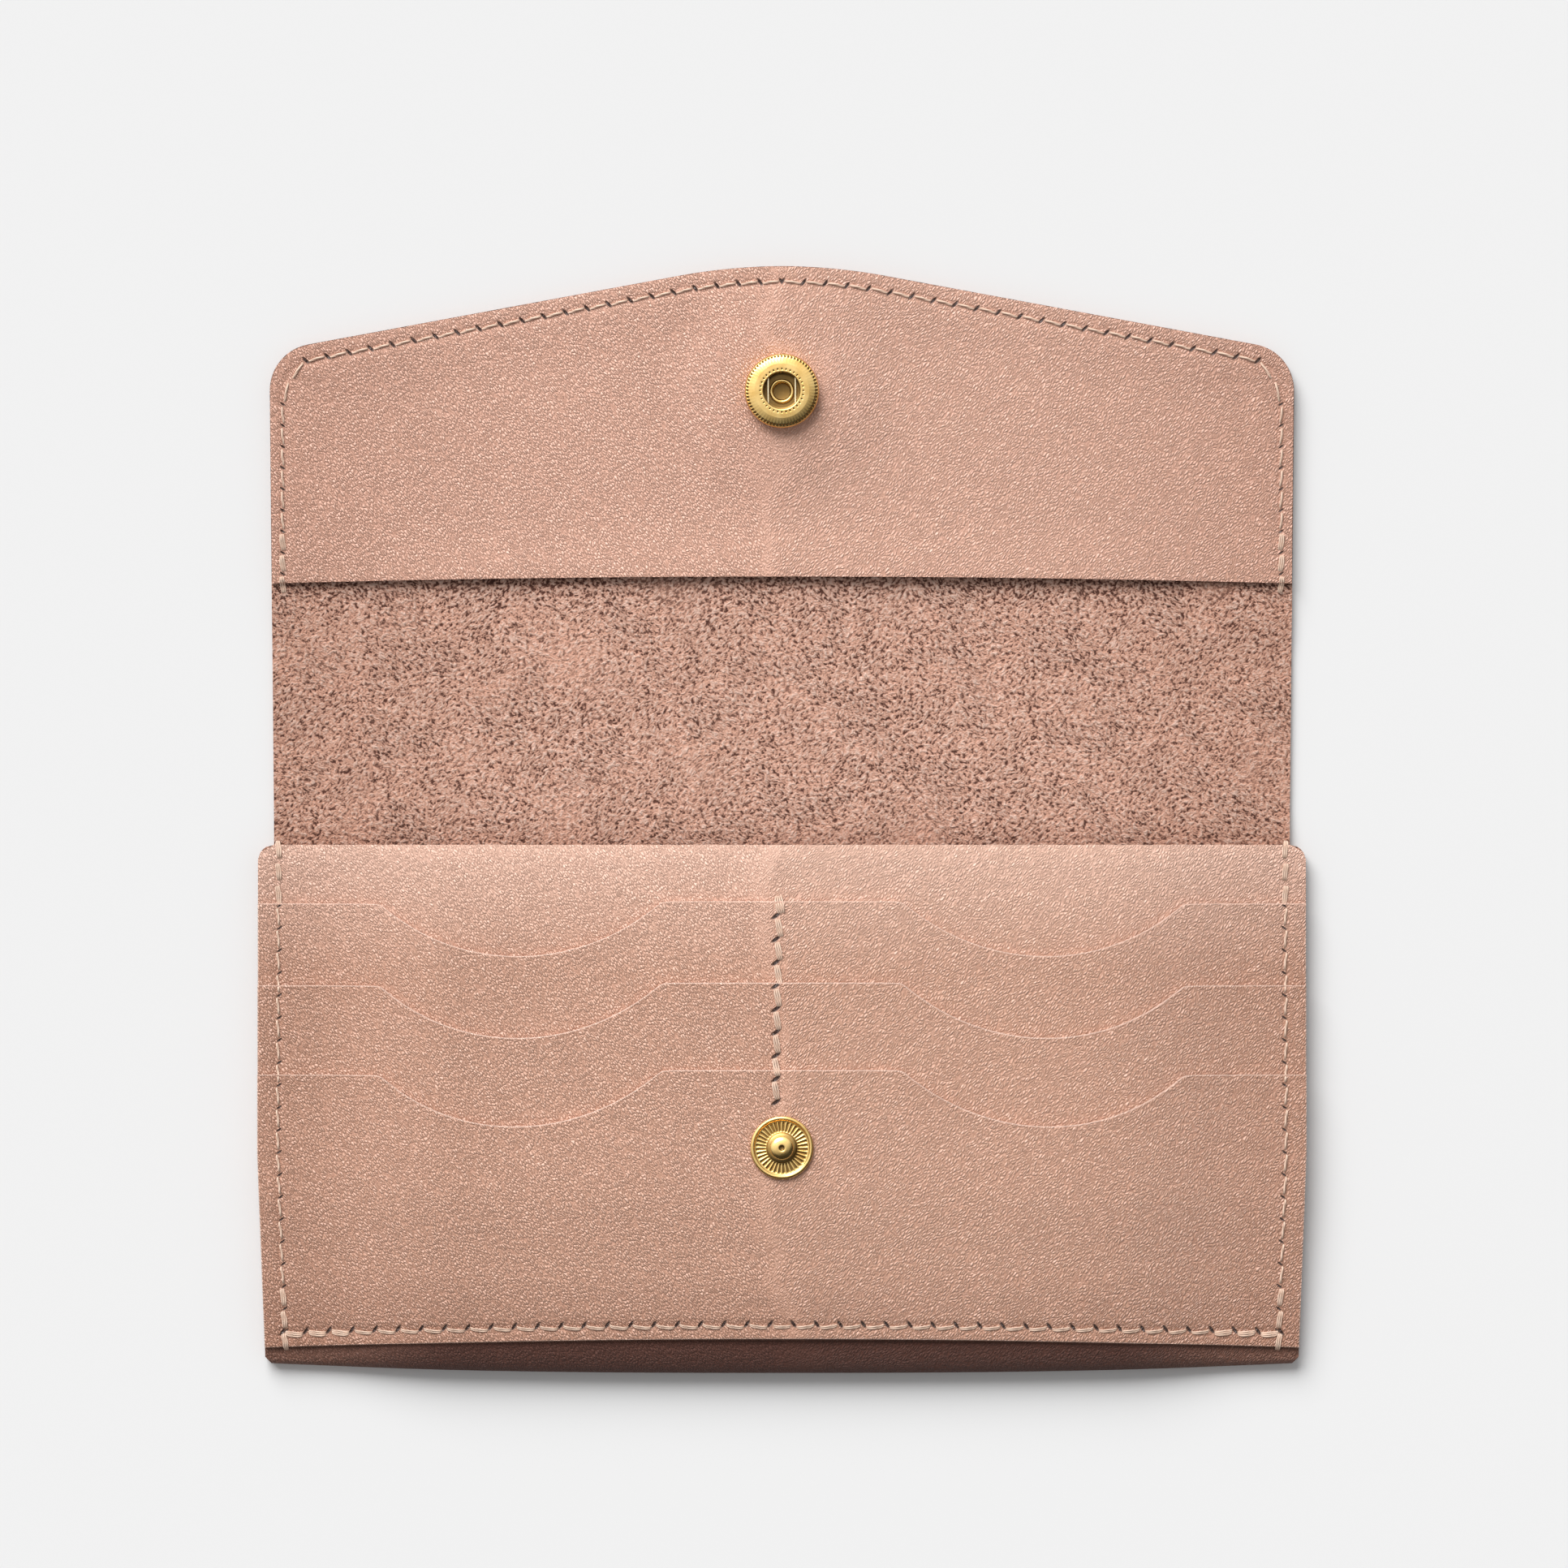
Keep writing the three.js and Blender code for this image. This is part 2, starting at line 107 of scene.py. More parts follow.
RIPPLE_BROAD = 0.16 * MM
RIPPLE_FINE = 0.05 * MM
FLAP_SLACK = 0.22 * MM
GROOVE_DEEP = 0.28 * MM
GROOVE_WIDE = 0.75 * MM
CAP_LIFT = 1.4 * MM
DOME_FLAT = 9.5 * MM
DOME_REACH = 24 * MM
LINING_EDGE_Y = FOLD_Y + 152.0 * MM
LINING_EDGE_BOW = 1.3 * MM
STUD_HOLE = 1.4 * MM
STUD_HOLE_HEIGHTS = (STUD_SEAT - 4.2 * MM, STUD_SEAT + 1 * MM)
SOCKET_HOLE = 1.9 * MM
SOCKET_HOLE_HEIGHTS = (0.4 * MM, SOCKET_SEAT + 1 * MM)
print("fold at", round(FOLD_Y, 4), "tip at", round(TIP_Y, 4), "bends at", LOWER_BEND, UPPER_BEND)

# %% [markdown]
# ## Forms of the sheets
# Leather lies in soft forms, so each sheet is a fine grid whose points are placed by a few smooth
# functions: how the pouch closes at its side seams, how the front falls away from the stud towards its
# mouth and its hem, how the pockets lift each other, how the flap rises over the snap's cap, how thread
# pulls a groove along a seam, and how nothing is ever quite flat.


# %% Forms shared by the sheets
def smooth(t):
    t = np.clip(t, 0, 1)
    return t * t * (3 - 2 * t)


def pinch(x):
    """1 where the pouch is open, falling to 0 where its side seams close it."""
    return smooth((PINCH_OUTER - np.abs(x)) / PINCH_WIDTH)


def pouch_gap(x):
    return SEAM_GAP + (POUCH_GAP - SEAM_GAP) * pinch(x)


def half_pouch(y):
    """Half the pouch's width at y, narrower at the bottom and rounded at the mouth."""
    taper = BOTTOM_TAPER * np.clip((TAPER_TOP_Y - y) / (TAPER_TOP_Y - FOLD_Y), 0, 1)
    rise = np.clip(y - (MOUTH_Y - SHOULDER_RADIUS), 0, SHOULDER_RADIUS)
    corner = SHOULDER_RADIUS - np.sqrt(SHOULDER_RADIUS**2 - rise**2)
    return HALF_POUCH - taper - corner


APEX_Y = TIP_Y + TIP_RADIUS * (1 / math.cos(FLAP_SLOPE) - 1)
CORNER_Y = APEX_Y - HALF_FLAP * math.tan(FLAP_SLOPE)


def half_flap(y):
    """Half the width of the neck and flap at y."""
    return HALF_NECK + (HALF_FLAP - HALF_NECK) * np.clip((y - MOUTH_Y) / (CORNER_Y - MOUTH_Y), 0, 1)


# The corner's arc touches the straight side and the slope
CORNER_CENTRE_X = HALF_FLAP - CORNER_RADIUS
CORNER_CENTRE_Y = APEX_Y - CORNER_CENTRE_X * math.tan(FLAP_SLOPE) - CORNER_RADIUS / math.cos(FLAP_SLOPE)


def flap_edge(x):
    """Height of the flap's top edge at x: two slopes, a rounded tip and two rounded corners."""
    x = np.abs(x)
    slope = APEX_Y - x * math.tan(FLAP_SLOPE)
    tip = TIP_Y - TIP_RADIUS + np.sqrt(np.maximum(TIP_RADIUS**2 - x**2, 0))
    edge = np.where(x < TIP_RADIUS * math.sin(FLAP_SLOPE), tip, slope)
    across = np.clip(x - CORNER_CENTRE_X, 0, CORNER_RADIUS)
    corner = CORNER_CENTRE_Y + np.sqrt(np.maximum(CORNER_RADIUS**2 - across**2, 0))
    return np.where(x > CORNER_CENTRE_X + CORNER_RADIUS * math.sin(FLAP_SLOPE), corner, edge)


def droop(x, y):
    """How far the front falls away from its highest line, at the stud, towards the mouth and the fold."""
    up = ((y - STUD_Y) / (MOUTH_Y - STUD_Y)).clip(0, 1)
    down = ((STUD_Y - y) / (STUD_Y - HEM_Y)).clip(0, 1.2)
    return (MOUTH_DROOP * up**5 + HEM_DROOP * down**2) * pinch(x)


def front_ripple(x, y):
    """The soft unevenness of the front and its pockets, less at the seams."""
    across = np.sin(x / 0.023 + 1.2 + 0.9 * np.sin(y / 0.031))
    broad = across * np.sin(y / 0.019 + 0.4 + 0.7 * np.sin(x / 0.027))
    fine = np.sin(x / 0.0083 + 2.1 * np.sin(y / 0.017)) * np.sin(y / 0.0094 + 1.7 * np.sin(x / 0.021))
    return (RIPPLE_BROAD * broad + RIPPLE_FINE * fine) * pinch(x)


def flap_ripple(x, y):
    """The lining's own unevenness, a little above the flap."""
    across = np.sin(x / 0.026 + 2.4 + 1.1 * np.sin(y / 0.024))
    broad = across * np.sin(y / 0.017 + 1.9 + 0.6 * np.sin(x / 0.03))
    fine = np.sin(x / 0.0091 + 1.8 * np.sin(y / 0.013)) * np.sin(y / 0.0078 + 1.3 * np.sin(x / 0.018))
    return FLAP_SLACK + RIPPLE_BROAD * broad + RIPPLE_FINE * fine


def groove(distance):
    """How far thread pulls the leather down at a distance from its seam."""
    return GROOVE_DEEP * np.exp(-((distance / GROOVE_WIDE) ** 2))


# %% [markdown]
# ## Seams
# A seam is a line of stitches at an even pitch. Each seam is described once, by a function that walks
# along it, and both the grooves in the leather and the stitches use it.

# %% Seam lines
SIDE_SEAM_X = HALF_POUCH - SEAM_INSET
SIDE_SEAM_TOP = MOUTH_Y + 1.2 * MM
SIDE_SEAM_BOTTOM = FOLD_Y + 3.8 * MM
SIDE_STITCHES = 23
SIDE_PITCH = (SIDE_SEAM_TOP - SIDE_SEAM_BOTTOM) / SIDE_STITCHES
BOTTOM_SEAM_Y = FOLD_Y + 9.3 * MM
BOTTOM_PITCH = 4.43 * MM
BOTTOM_STITCHES = 21
FLAP_SEAM_INSET = 2.6 * MM
FLAP_TOP_INSET = 3.1 * MM
FLAP_ROOT_Y = FOLD_Y + 136 * MM
RIM_LIFT = 0.48 * MM
FLAP_PITCH = 4.13 * MM
FLAP_TOP_STITCHES = 22
FLAP_SIDE_TOP = FOLD_Y + 184.9 * MM
FLAP_SIDE_PITCH = 4.05 * MM
FLAP_SIDE_STITCHES = 9
CENTRE_SEAM_TOP = FOLD_Y + 91.7 * MM
CENTRE_PITCH = 4.42 * MM
CENTRE_STITCHES = 9
CENTRE_SEAM_BOTTOM = CENTRE_SEAM_TOP - CENTRE_STITCHES * CENTRE_PITCH
CENTRE_SEAM_X = -0.7 * MM
MOUTH_ROLL = 0.35 * MM
MOUTH_ROLL_REACH = 2.4 * MM
# The bottom seam and the pockets' hem bow down towards the corners
BOW_OF_HEM = CORNER_LIFT / HALF_POUCH**2


def bottom_seam(x):
    return BOTTOM_SEAM_Y - CORNER_LIFT * (x / HALF_POUCH) ** 2


def side_seam(y):
    return half_pouch(y.clip(None, MOUTH_Y - SHOULDER_RADIUS)) - SEAM_INSET


def front_grooves(x, y):
    sides = groove(np.abs(x) - side_seam(y)) * (y < MOUTH_Y)
    bottom = groove(y - bottom_seam(x)) * (np.abs(x) < SIDE_SEAM_X)
    between = smooth((CENTRE_SEAM_TOP + MM - y) / MM) * smooth((y - CENTRE_SEAM_BOTTOM + MM) / MM)
    centre = groove(x - CENTRE_SEAM_X) * between
    return np.maximum(np.maximum(sides, bottom), centre)


def flap_seam_distance(x, y):
    """Distance from the flap's seam, along its sides and under its top edge."""
    corner_x = CORNER_CENTRE_X + 0.4 * MM
    across = np.abs(x) - corner_x
    up = y - (CORNER_CENTRE_Y - 0.4 * MM)
    round_corner = np.hypot(np.maximum(across, 0), np.maximum(up, 0)) - (CORNER_RADIUS - 3.0 * MM)
    side = np.abs(x) - (half_flap(y) - FLAP_SEAM_INSET)
    top = (y - flap_edge(np.minimum(np.abs(x), corner_x)) + FLAP_TOP_INSET) * math.cos(FLAP_SLOPE)
    return np.where((across > 0) & (up > 0), round_corner, np.maximum(side, top))


def flap_grooves(x, y):
    return groove(flap_seam_distance(x, y)) * smooth((y - LINING_EDGE_Y + 4 * MM) / (2 * MM))


def flap_rim_lift(x, y):
    """The flap's rim curls up a little, so that the stitches under it don't press on the table."""
    return RIM_LIFT * smooth(1 + flap_seam_distance(x, y) / (11 * MM)) * smooth((y - FLAP_ROOT_Y) / (9 * MM))


def mouth_round(y):
    """The front's upper edge rolls in a little."""
    return MOUTH_ROLL * smooth((y - MOUTH_Y + MOUTH_ROLL_REACH) / MOUTH_ROLL_REACH)


def pouch_rim_lift(x, y):
    """The pouch's sides curl up in the same way, and the neck above them doesn't."""
    near_side = smooth(1 + (np.abs(x) - SIDE_SEAM_X) / (14 * MM))
    return RIM_LIFT * near_side * smooth((MOUTH_Y + 8 * MM - y) / (6 * MM))


# %% [markdown]
# ## Laying a grid as a sheet
# Each sheet starts as Blender's grid primitive with the columns and rows that it needs, closer together
# where seams and edges are. A placing function moves the points into the sheet's form. Solidify gives it
# the leather's thickness, and a small bevel softens the cut edges, as a slicker does by hand.


# %% Helpers for sheets
def only(piece):
    """Selects one object and nothing else, so that operators act on it alone."""
    bpy.ops.object.select_all(action="DESELECT")
    piece.select_set(True)
    bpy.context.view_layer.objects.active = piece


def apply_modifier(piece, kind, **values):
    only(piece)
    modifier = piece.modifiers.new(kind.title(), kind)
    for name, value in values.items():
        setattr(modifier, name, value)
    bpy.ops.object.modifier_apply(modifier=modifier.name)


def get_points(piece):
    points = np.empty(len(piece.data.vertices) * 3)
    piece.data.vertices.foreach_get("co", points)
    return points.reshape(-1, 3)


def set_points(piece, points):
    piece.data.vertices.foreach_set("co", np.asarray(points, float).reshape(-1))
    piece.data.update()


def lay_grid(name, columns, rows, place):
    """A grid whose point at column u and row v is moved to place(u, v)."""
    bpy.ops.object.select_all(action="DESELECT")
    bpy.ops.mesh.primitive_grid_add(x_subdivisions=len(columns) - 1, y_subdivisions=len(rows) - 1, size=1)
    piece = bpy.context.object
    piece.name = name
    piece.data.name = name
    points = get_points(piece)
    u = np.asarray(columns)[np.rint((points[:, 0] + 0.5) * (len(columns) - 1)).astype(int)]
    v = np.asarray(rows)[np.rint((points[:, 1] + 0.5) * (len(rows) - 1)).astype(int)]
    set_points(piece, np.column_stack(place(u, v)))
    return piece


def thicken(piece, thickness, edge=0.22 * MM, edge_slot=-1):
    """Gives the sheet its thickness below its face, with faces of slots 1 and 2 inside and at the rim."""
    apply_modifier(
        piece, "SOLIDIFY", thickness=thickness, offset=-1, material_offset=1, material_offset_rim=2,
    )
    apply_modifier(
        piece, "BEVEL", width=edge, segments=3, limit_method="ANGLE", angle_limit=math.radians(50),
        material=edge_slot,
    )
    only(piece)
    bpy.ops.object.shade_smooth_by_angle(angle=math.radians(40))


def cut_post_hole(piece, radius, y, low, high):
    """Punches a round hole for a post through the sheet, between two heights."""
    bpy.ops.object.select_all(action="DESELECT")
    bpy.ops.mesh.primitive_cylinder_add(
        vertices=48, radius=radius, depth=high - low, location=(0, y, (low + high) / 2),
    )
    cutter = bpy.context.object
    apply_modifier(piece, "BOOLEAN", object=cutter, operation="DIFFERENCE", solver="EXACT")
    bpy.data.objects.remove(cutter)


def spaced(stops, steps):
    """Values through the stops, with a step of about the given size between each two."""
    values = [np.array([stops[0]])]
    for low, high, step in zip(stops[:-1], stops[1:], steps):
        count = max(1, round(abs(high - low) / step))
        values.append(np.linspace(low, high, count + 1)[1:])
    return np.concatenate(values)


def mirrored(values):
    return np.unique(np.round(np.concatenate([-np.asarray(values), values]), 9))


def paint(piece, *materials):
    piece.data.materials.clear()
    for material in materials:
        piece.data.materials.append(material)


# %% [markdown]
# ## Shader groups
# Two effects come back in several finishes. Grain is the fine slanted pebbling of smooth cowhide, made of
# stretched Voronoi cells with a little noise. It slants one way on the left half of the hide and the other
# way on the right, and the two meet in ragged patches. Its height paints the crowns of the pebbles pale, a
# painted highlight, its creases serve to paint shade between them, and its relief, the same height but
# deeper where the lamp strikes along the slant, feeds the bump. Awl holes are the slanted slits between
# stitches, painted dark as shade: the group measures the distance from a seam's line and repeats a slit at
# every pitch along it.


# %% Helpers for shader nodes
def node(tree, kind, links=None, **values):
    """Adds a node, sets its fields or unlinked inputs, and links its inputs to other nodes' outputs."""
    made = tree.nodes.new(kind)
    for name, value in values.items():
        if hasattr(made, name):
            setattr(made, name, value)
        else:
            made.inputs[name].default_value = value
    for name, source in (links or {}).items():
        tree.links.new(source, made.inputs[name])
    return made


def maths(tree, operation, a, b=None, c=None, clamp=False):
    made = tree.nodes.new("ShaderNodeMath")
    made.operation = operation
    made.use_clamp = clamp
    for slot, value in enumerate((a, b, c)):
        if value is None:
            continue
        if isinstance(value, (int, float)):
            made.inputs[slot].default_value = value
        else:
            tree.links.new(value, made.inputs[slot])
    return made.outputs[0]


def blend_colour(tree, factor, a, b, mode="MIX"):
    made = tree.nodes.new("ShaderNodeMix")
    made.data_type = "RGBA"
    made.blend_type = mode
    for slot, value in ((0, factor), (6, a), (7, b)):
        if isinstance(value, (int, float)):
            made.inputs[slot].default_value = value
        elif isinstance(value, tuple):
            made.inputs[slot].default_value = (*value, 1)
        else:
            tree.links.new(value, made.inputs[slot])
    return made.outputs[2]


def new_group(name, inputs, outputs):
    group = bpy.data.node_groups.new(name, "ShaderNodeTree")
    for label, value in inputs.items():
        kind = "NodeSocketVector" if isinstance(value, tuple) else "NodeSocketFloat"
        socket = group.interface.new_socket(label, in_out="INPUT", socket_type=kind)
        socket.default_value = value
    for label, kind in outputs.items():
        group.interface.new_socket(label, in_out="OUTPUT", socket_type=kind)
    return group, group.nodes.new("NodeGroupInput"), group.nodes.new("NodeGroupOutput")


def use_group(tree, group, links=None, **values):
    made = tree.nodes.new("ShaderNodeGroup")
    made.node_tree = group
    for name, value in values.items():
        made.inputs[name.replace("_", " ")].default_value = value
    for name, source in (links or {}).items():
        tree.links.new(source, made.inputs[name])
    return made


# %% Grain of smooth cowhide
GRAIN_STRETCH = (0.42, 1.0, 0.8)
GRAIN_CELLS = 2550.0
GRAIN_FOLDS = 1900.0


def make_grain_group():
    group, given, out = new_group(
        "leather grain", {"Slant": 0.95, "Size": 1.0},
        {"Height": "NodeSocketFloat", "Relief": "NodeSocketFloat", "Creases": "NodeSocketFloat",
         "Cloud": "NodeSocketFloat"},
    )
    place = node(group, "ShaderNodeTexCoord").outputs["Object"]
    wander = node(group, "ShaderNodeTexNoise", {"Vector": place}, Scale=150.0, Detail=2.0)
    offset = node(group, "ShaderNodeVectorMath", {0: wander.outputs["Color"]}, operation="SCALE",
                  Scale=0.8 * MM)
    moved = node(group, "ShaderNodeVectorMath", {0: place, 1: offset.outputs[0]}, operation="ADD")
    heights = []
    creases = []
    for way in (1, -1):
        angle = maths(group, "MULTIPLY", given.outputs["Slant"], way)
        turned = node(group, "ShaderNodeVectorRotate", {"Vector": moved.outputs[0], "Angle": angle},
                      rotation_type="Z_AXIS")
        squeezed = node(group, "ShaderNodeVectorMath", {0: turned.outputs[0]}, operation="MULTIPLY")
        squeezed.inputs[1].default_value = GRAIN_STRETCH
        scaled = node(group, "ShaderNodeVectorMath", {0: squeezed.outputs[0], "Scale": given.outputs["Size"]},
                      operation="SCALE")
        cells = node(group, "ShaderNodeTexVoronoi", {"Vector": scaled.outputs[0]}, feature="DISTANCE_TO_EDGE",
                     Scale=GRAIN_CELLS, Randomness=1.0)
        folds = node(group, "ShaderNodeTexNoise", {"Vector": scaled.outputs[0]}, Scale=GRAIN_FOLDS,
                     Detail=2.0)
        pebbles = maths(group, "SMOOTH_MIN", cells.outputs["Distance"], 0.30, 0.2)
        pebbles = maths(group, "MULTIPLY", pebbles, 2.6)
        heights.append(maths(group, "MULTIPLY_ADD", folds.outputs["Fac"], 0.8, pebbles))
        creases.append(maths(group, "MULTIPLY_ADD", cells.outputs["Distance"], -8.0, 1.0, clamp=True))
    side = node(group, "ShaderNodeSeparateXYZ", {"Vector": place}).outputs["X"]
    cloud = node(group, "ShaderNodeTexNoise", {"Vector": place}, Scale=26.0, Detail=3.0, Roughness=0.55)
    drift = maths(group, "MULTIPLY_ADD", cloud.outputs["Fac"], 9.0, -4.0)
    half = maths(group, "MULTIPLY_ADD", side, 130.0, drift, clamp=True)
    height, crease = [
        maths(group, "MULTIPLY_ADD", maths(group, "SUBTRACT", pair[1], pair[0]), half, pair[0])
        for pair in (heights, creases)
    ]
    depth = maths(group, "MULTIPLY_ADD", half, 0.18, 0.94)
    group.links.new(height, out.inputs["Height"])
    group.links.new(maths(group, "MULTIPLY", height, depth), out.inputs["Relief"])
    group.links.new(crease, out.inputs["Creases"])
    group.links.new(cloud.outputs["Fac"], out.inputs["Cloud"])
    return group


GRAIN = make_grain_group()
print("made group", GRAIN.name)


# %% Awl holes along a straight seam
def make_holes_group():
    group, given, out = new_group(
        "awl holes", {"Start": (0.0, 0.0, 0.0), "Along": (1.0, 0.0, 0.0), "Pitch": 0.0043, "Length": 0.1,
                      "Bow": 0.0, "Slant": 1.0, "Mirror": 1.0, "Width": 0.0004},
        {"Hole": "NodeSocketFloat"},
    )
    place = node(group, "ShaderNodeTexCoord").outputs["Object"]
    split = node(group, "ShaderNodeSeparateXYZ", {"Vector": place})
    flipped = maths(group, "SUBTRACT", maths(group, "ABSOLUTE", split.outputs["X"]), split.outputs["X"])
    across = maths(group, "MULTIPLY_ADD", flipped, given.outputs["Mirror"], split.outputs["X"])
    lifted = maths(group, "MULTIPLY_ADD", maths(group, "MULTIPLY", across, across), given.outputs["Bow"],
                   split.outputs["Y"])
    flat = node(group, "ShaderNodeCombineXYZ", {"X": across, "Y": lifted})
    relative = node(group, "ShaderNodeVectorMath", {0: flat.outputs[0], 1: given.outputs["Start"]},
                    operation="SUBTRACT")
    along = node(group, "ShaderNodeVectorMath", {0: relative.outputs[0], 1: given.outputs["Along"]},
                 operation="DOT_PRODUCT").outputs["Value"]
    normal = node(group, "ShaderNodeVectorRotate", {"Vector": given.outputs["Along"]}, rotation_type="Z_AXIS",
                  Angle=math.pi / 2)
    side = node(group, "ShaderNodeVectorMath", {0: relative.outputs[0], 1: normal.outputs[0]},
                operation="DOT_PRODUCT").outputs["Value"]
    phase = maths(group, "WRAP", along, maths(group, "MULTIPLY", given.outputs["Pitch"], 0.5),
                  maths(group, "MULTIPLY", given.outputs["Pitch"], -0.5))
    slanted = maths(group, "MULTIPLY_ADD", side, maths(group, "MULTIPLY", given.outputs["Slant"], 0.6), phase)
    across_slit = maths(group, "POWER", maths(group, "ABSOLUTE", slanted), 2.0)
    from_line = maths(group, "ABSOLUTE", maths(group, "MULTIPLY", side, 0.45))
    shape = maths(group, "SQRT", maths(group, "ADD", across_slit, maths(group, "POWER", from_line, 2.0)))
    hole = maths(group, "SUBTRACT", 1.0, maths(group, "DIVIDE", shape, given.outputs["Width"]), clamp=True)
    inside = maths(group, "MULTIPLY", maths(group, "GREATER_THAN", along, -0.0006),
                   maths(group, "LESS_THAN", along, given.outputs["Length"]))
    soft = maths(group, "MULTIPLY", maths(group, "SMOOTH_MIN", maths(group, "MULTIPLY", hole, 2.2), 1.0, 0.3),
                 inside)
    group.links.new(soft, out.inputs["Hole"])
    return group


HOLES = make_holes_group()
print("made group", HOLES.name)

# %% [markdown]
# ## Finishes
# Five leather finishes are needed: the smooth outer hide, whose fold is painted dark as shade, the pockets'
# hide, the lining, which is the same hide a shade lighter, the suede of the flesh side, and the raw cut edge.
# Leather isn't one even tone, and its colour also carries painted light. Painted shade darkens it towards
# its sides and its foot, and a painted sheen lightens it at the mouth, so each of these has its own mask
# over the sheet. Suede is made of short naps, drawn one way or the other in patches, with pits between
# them painted dark as shade and tips painted pale as highlights. Brass and thread complete the list. Each
# finish keeps its Principled shader in the material, and the groups only give it colours, masks and heights.

# %% Leather finishes
HIDE = (0.75, 0.425, 0.298)
LINING_TONE = (0.86, 0.495, 0.368)
# Painted shade in the grain's creases, and painted highlights on its crowns and on the pockets' edges
HIDE_DARK = (0.46, 0.215, 0.135)
HIDE_PALE = (0.90, 0.66, 0.55)
# The colour of the painted sheen at the pouch's mouth
MOUTH_SHEEN_TONE = (0.92, 0.60, 0.475)
# The colour of the painted shade on the bottom fold
FOLD_SHADE_TONE = (0.075, 0.019, 0.008)
SUEDE_TONE = (0.84, 0.455, 0.33)
# Painted shade in the suede's pits, and painted highlights on its tips
SUEDE_DARK = (0.10, 0.034, 0.024)
SUEDE_PALE = (0.98, 0.69, 0.57)
# The colour that painted shade multiplies in, towards the sides and the foot
SIDE_SHADE_TONE = (0.56, 0.47, 0.42)
RAW_TONE = (0.33, 0.165, 0.11)
RAW_DARK = (0.12, 0.055, 0.035)
HOLE_TONE = (0.045, 0.018, 0.012)
SIDE_SHADE_FROM = 36 * MM
SIDE_SHADE_REACH = 62 * MM
MOUTH_SHEEN_REACH = 24 * MM
LINING_SHADOW_REACH = 6 * MM


def start_material(name, roughness, metallic=0.0):
    material = bpy.data.materials.new(name)
    material.use_nodes = True
    shader = material.node_tree.nodes["Principled BSDF"]
    shader.inputs["Roughness"].default_value = roughness
    shader.inputs["Metallic"].default_value = metallic
    return material, material.node_tree, shader


def split_place(tree):
    """The object coordinates as three outputs, X, Y and Z."""
    place = node(tree, "ShaderNodeTexCoord").outputs["Object"]
    return node(tree, "ShaderNodeSeparateXYZ", {"Vector": place}).outputs


def paint_side_shade(tree, colour, sides, foot, foot_from, foot_reach):
    """Paints shade on leather, a little towards the wallet's sides and, below foot_from, towards its foot."""
    place = split_place(tree)
    outward = maths(tree, "MULTIPLY_ADD", maths(tree, "ABSOLUTE", place["X"]), 1 / SIDE_SHADE_REACH,
                    -SIDE_SHADE_FROM / SIDE_SHADE_REACH, clamp=True)
    down = maths(tree, "MULTIPLY_ADD", place["Y"], -1 / foot_reach, foot_from / foot_reach, clamp=True)
    mask = maths(tree, "MULTIPLY", maths(tree, "POWER", outward, 1.6), sides)
    mask = maths(tree, "MULTIPLY_ADD", maths(tree, "POWER", down, 2.0), foot, mask, clamp=True)
    return blend_colour(tree, mask, colour, SIDE_SHADE_TONE, "MULTIPLY")


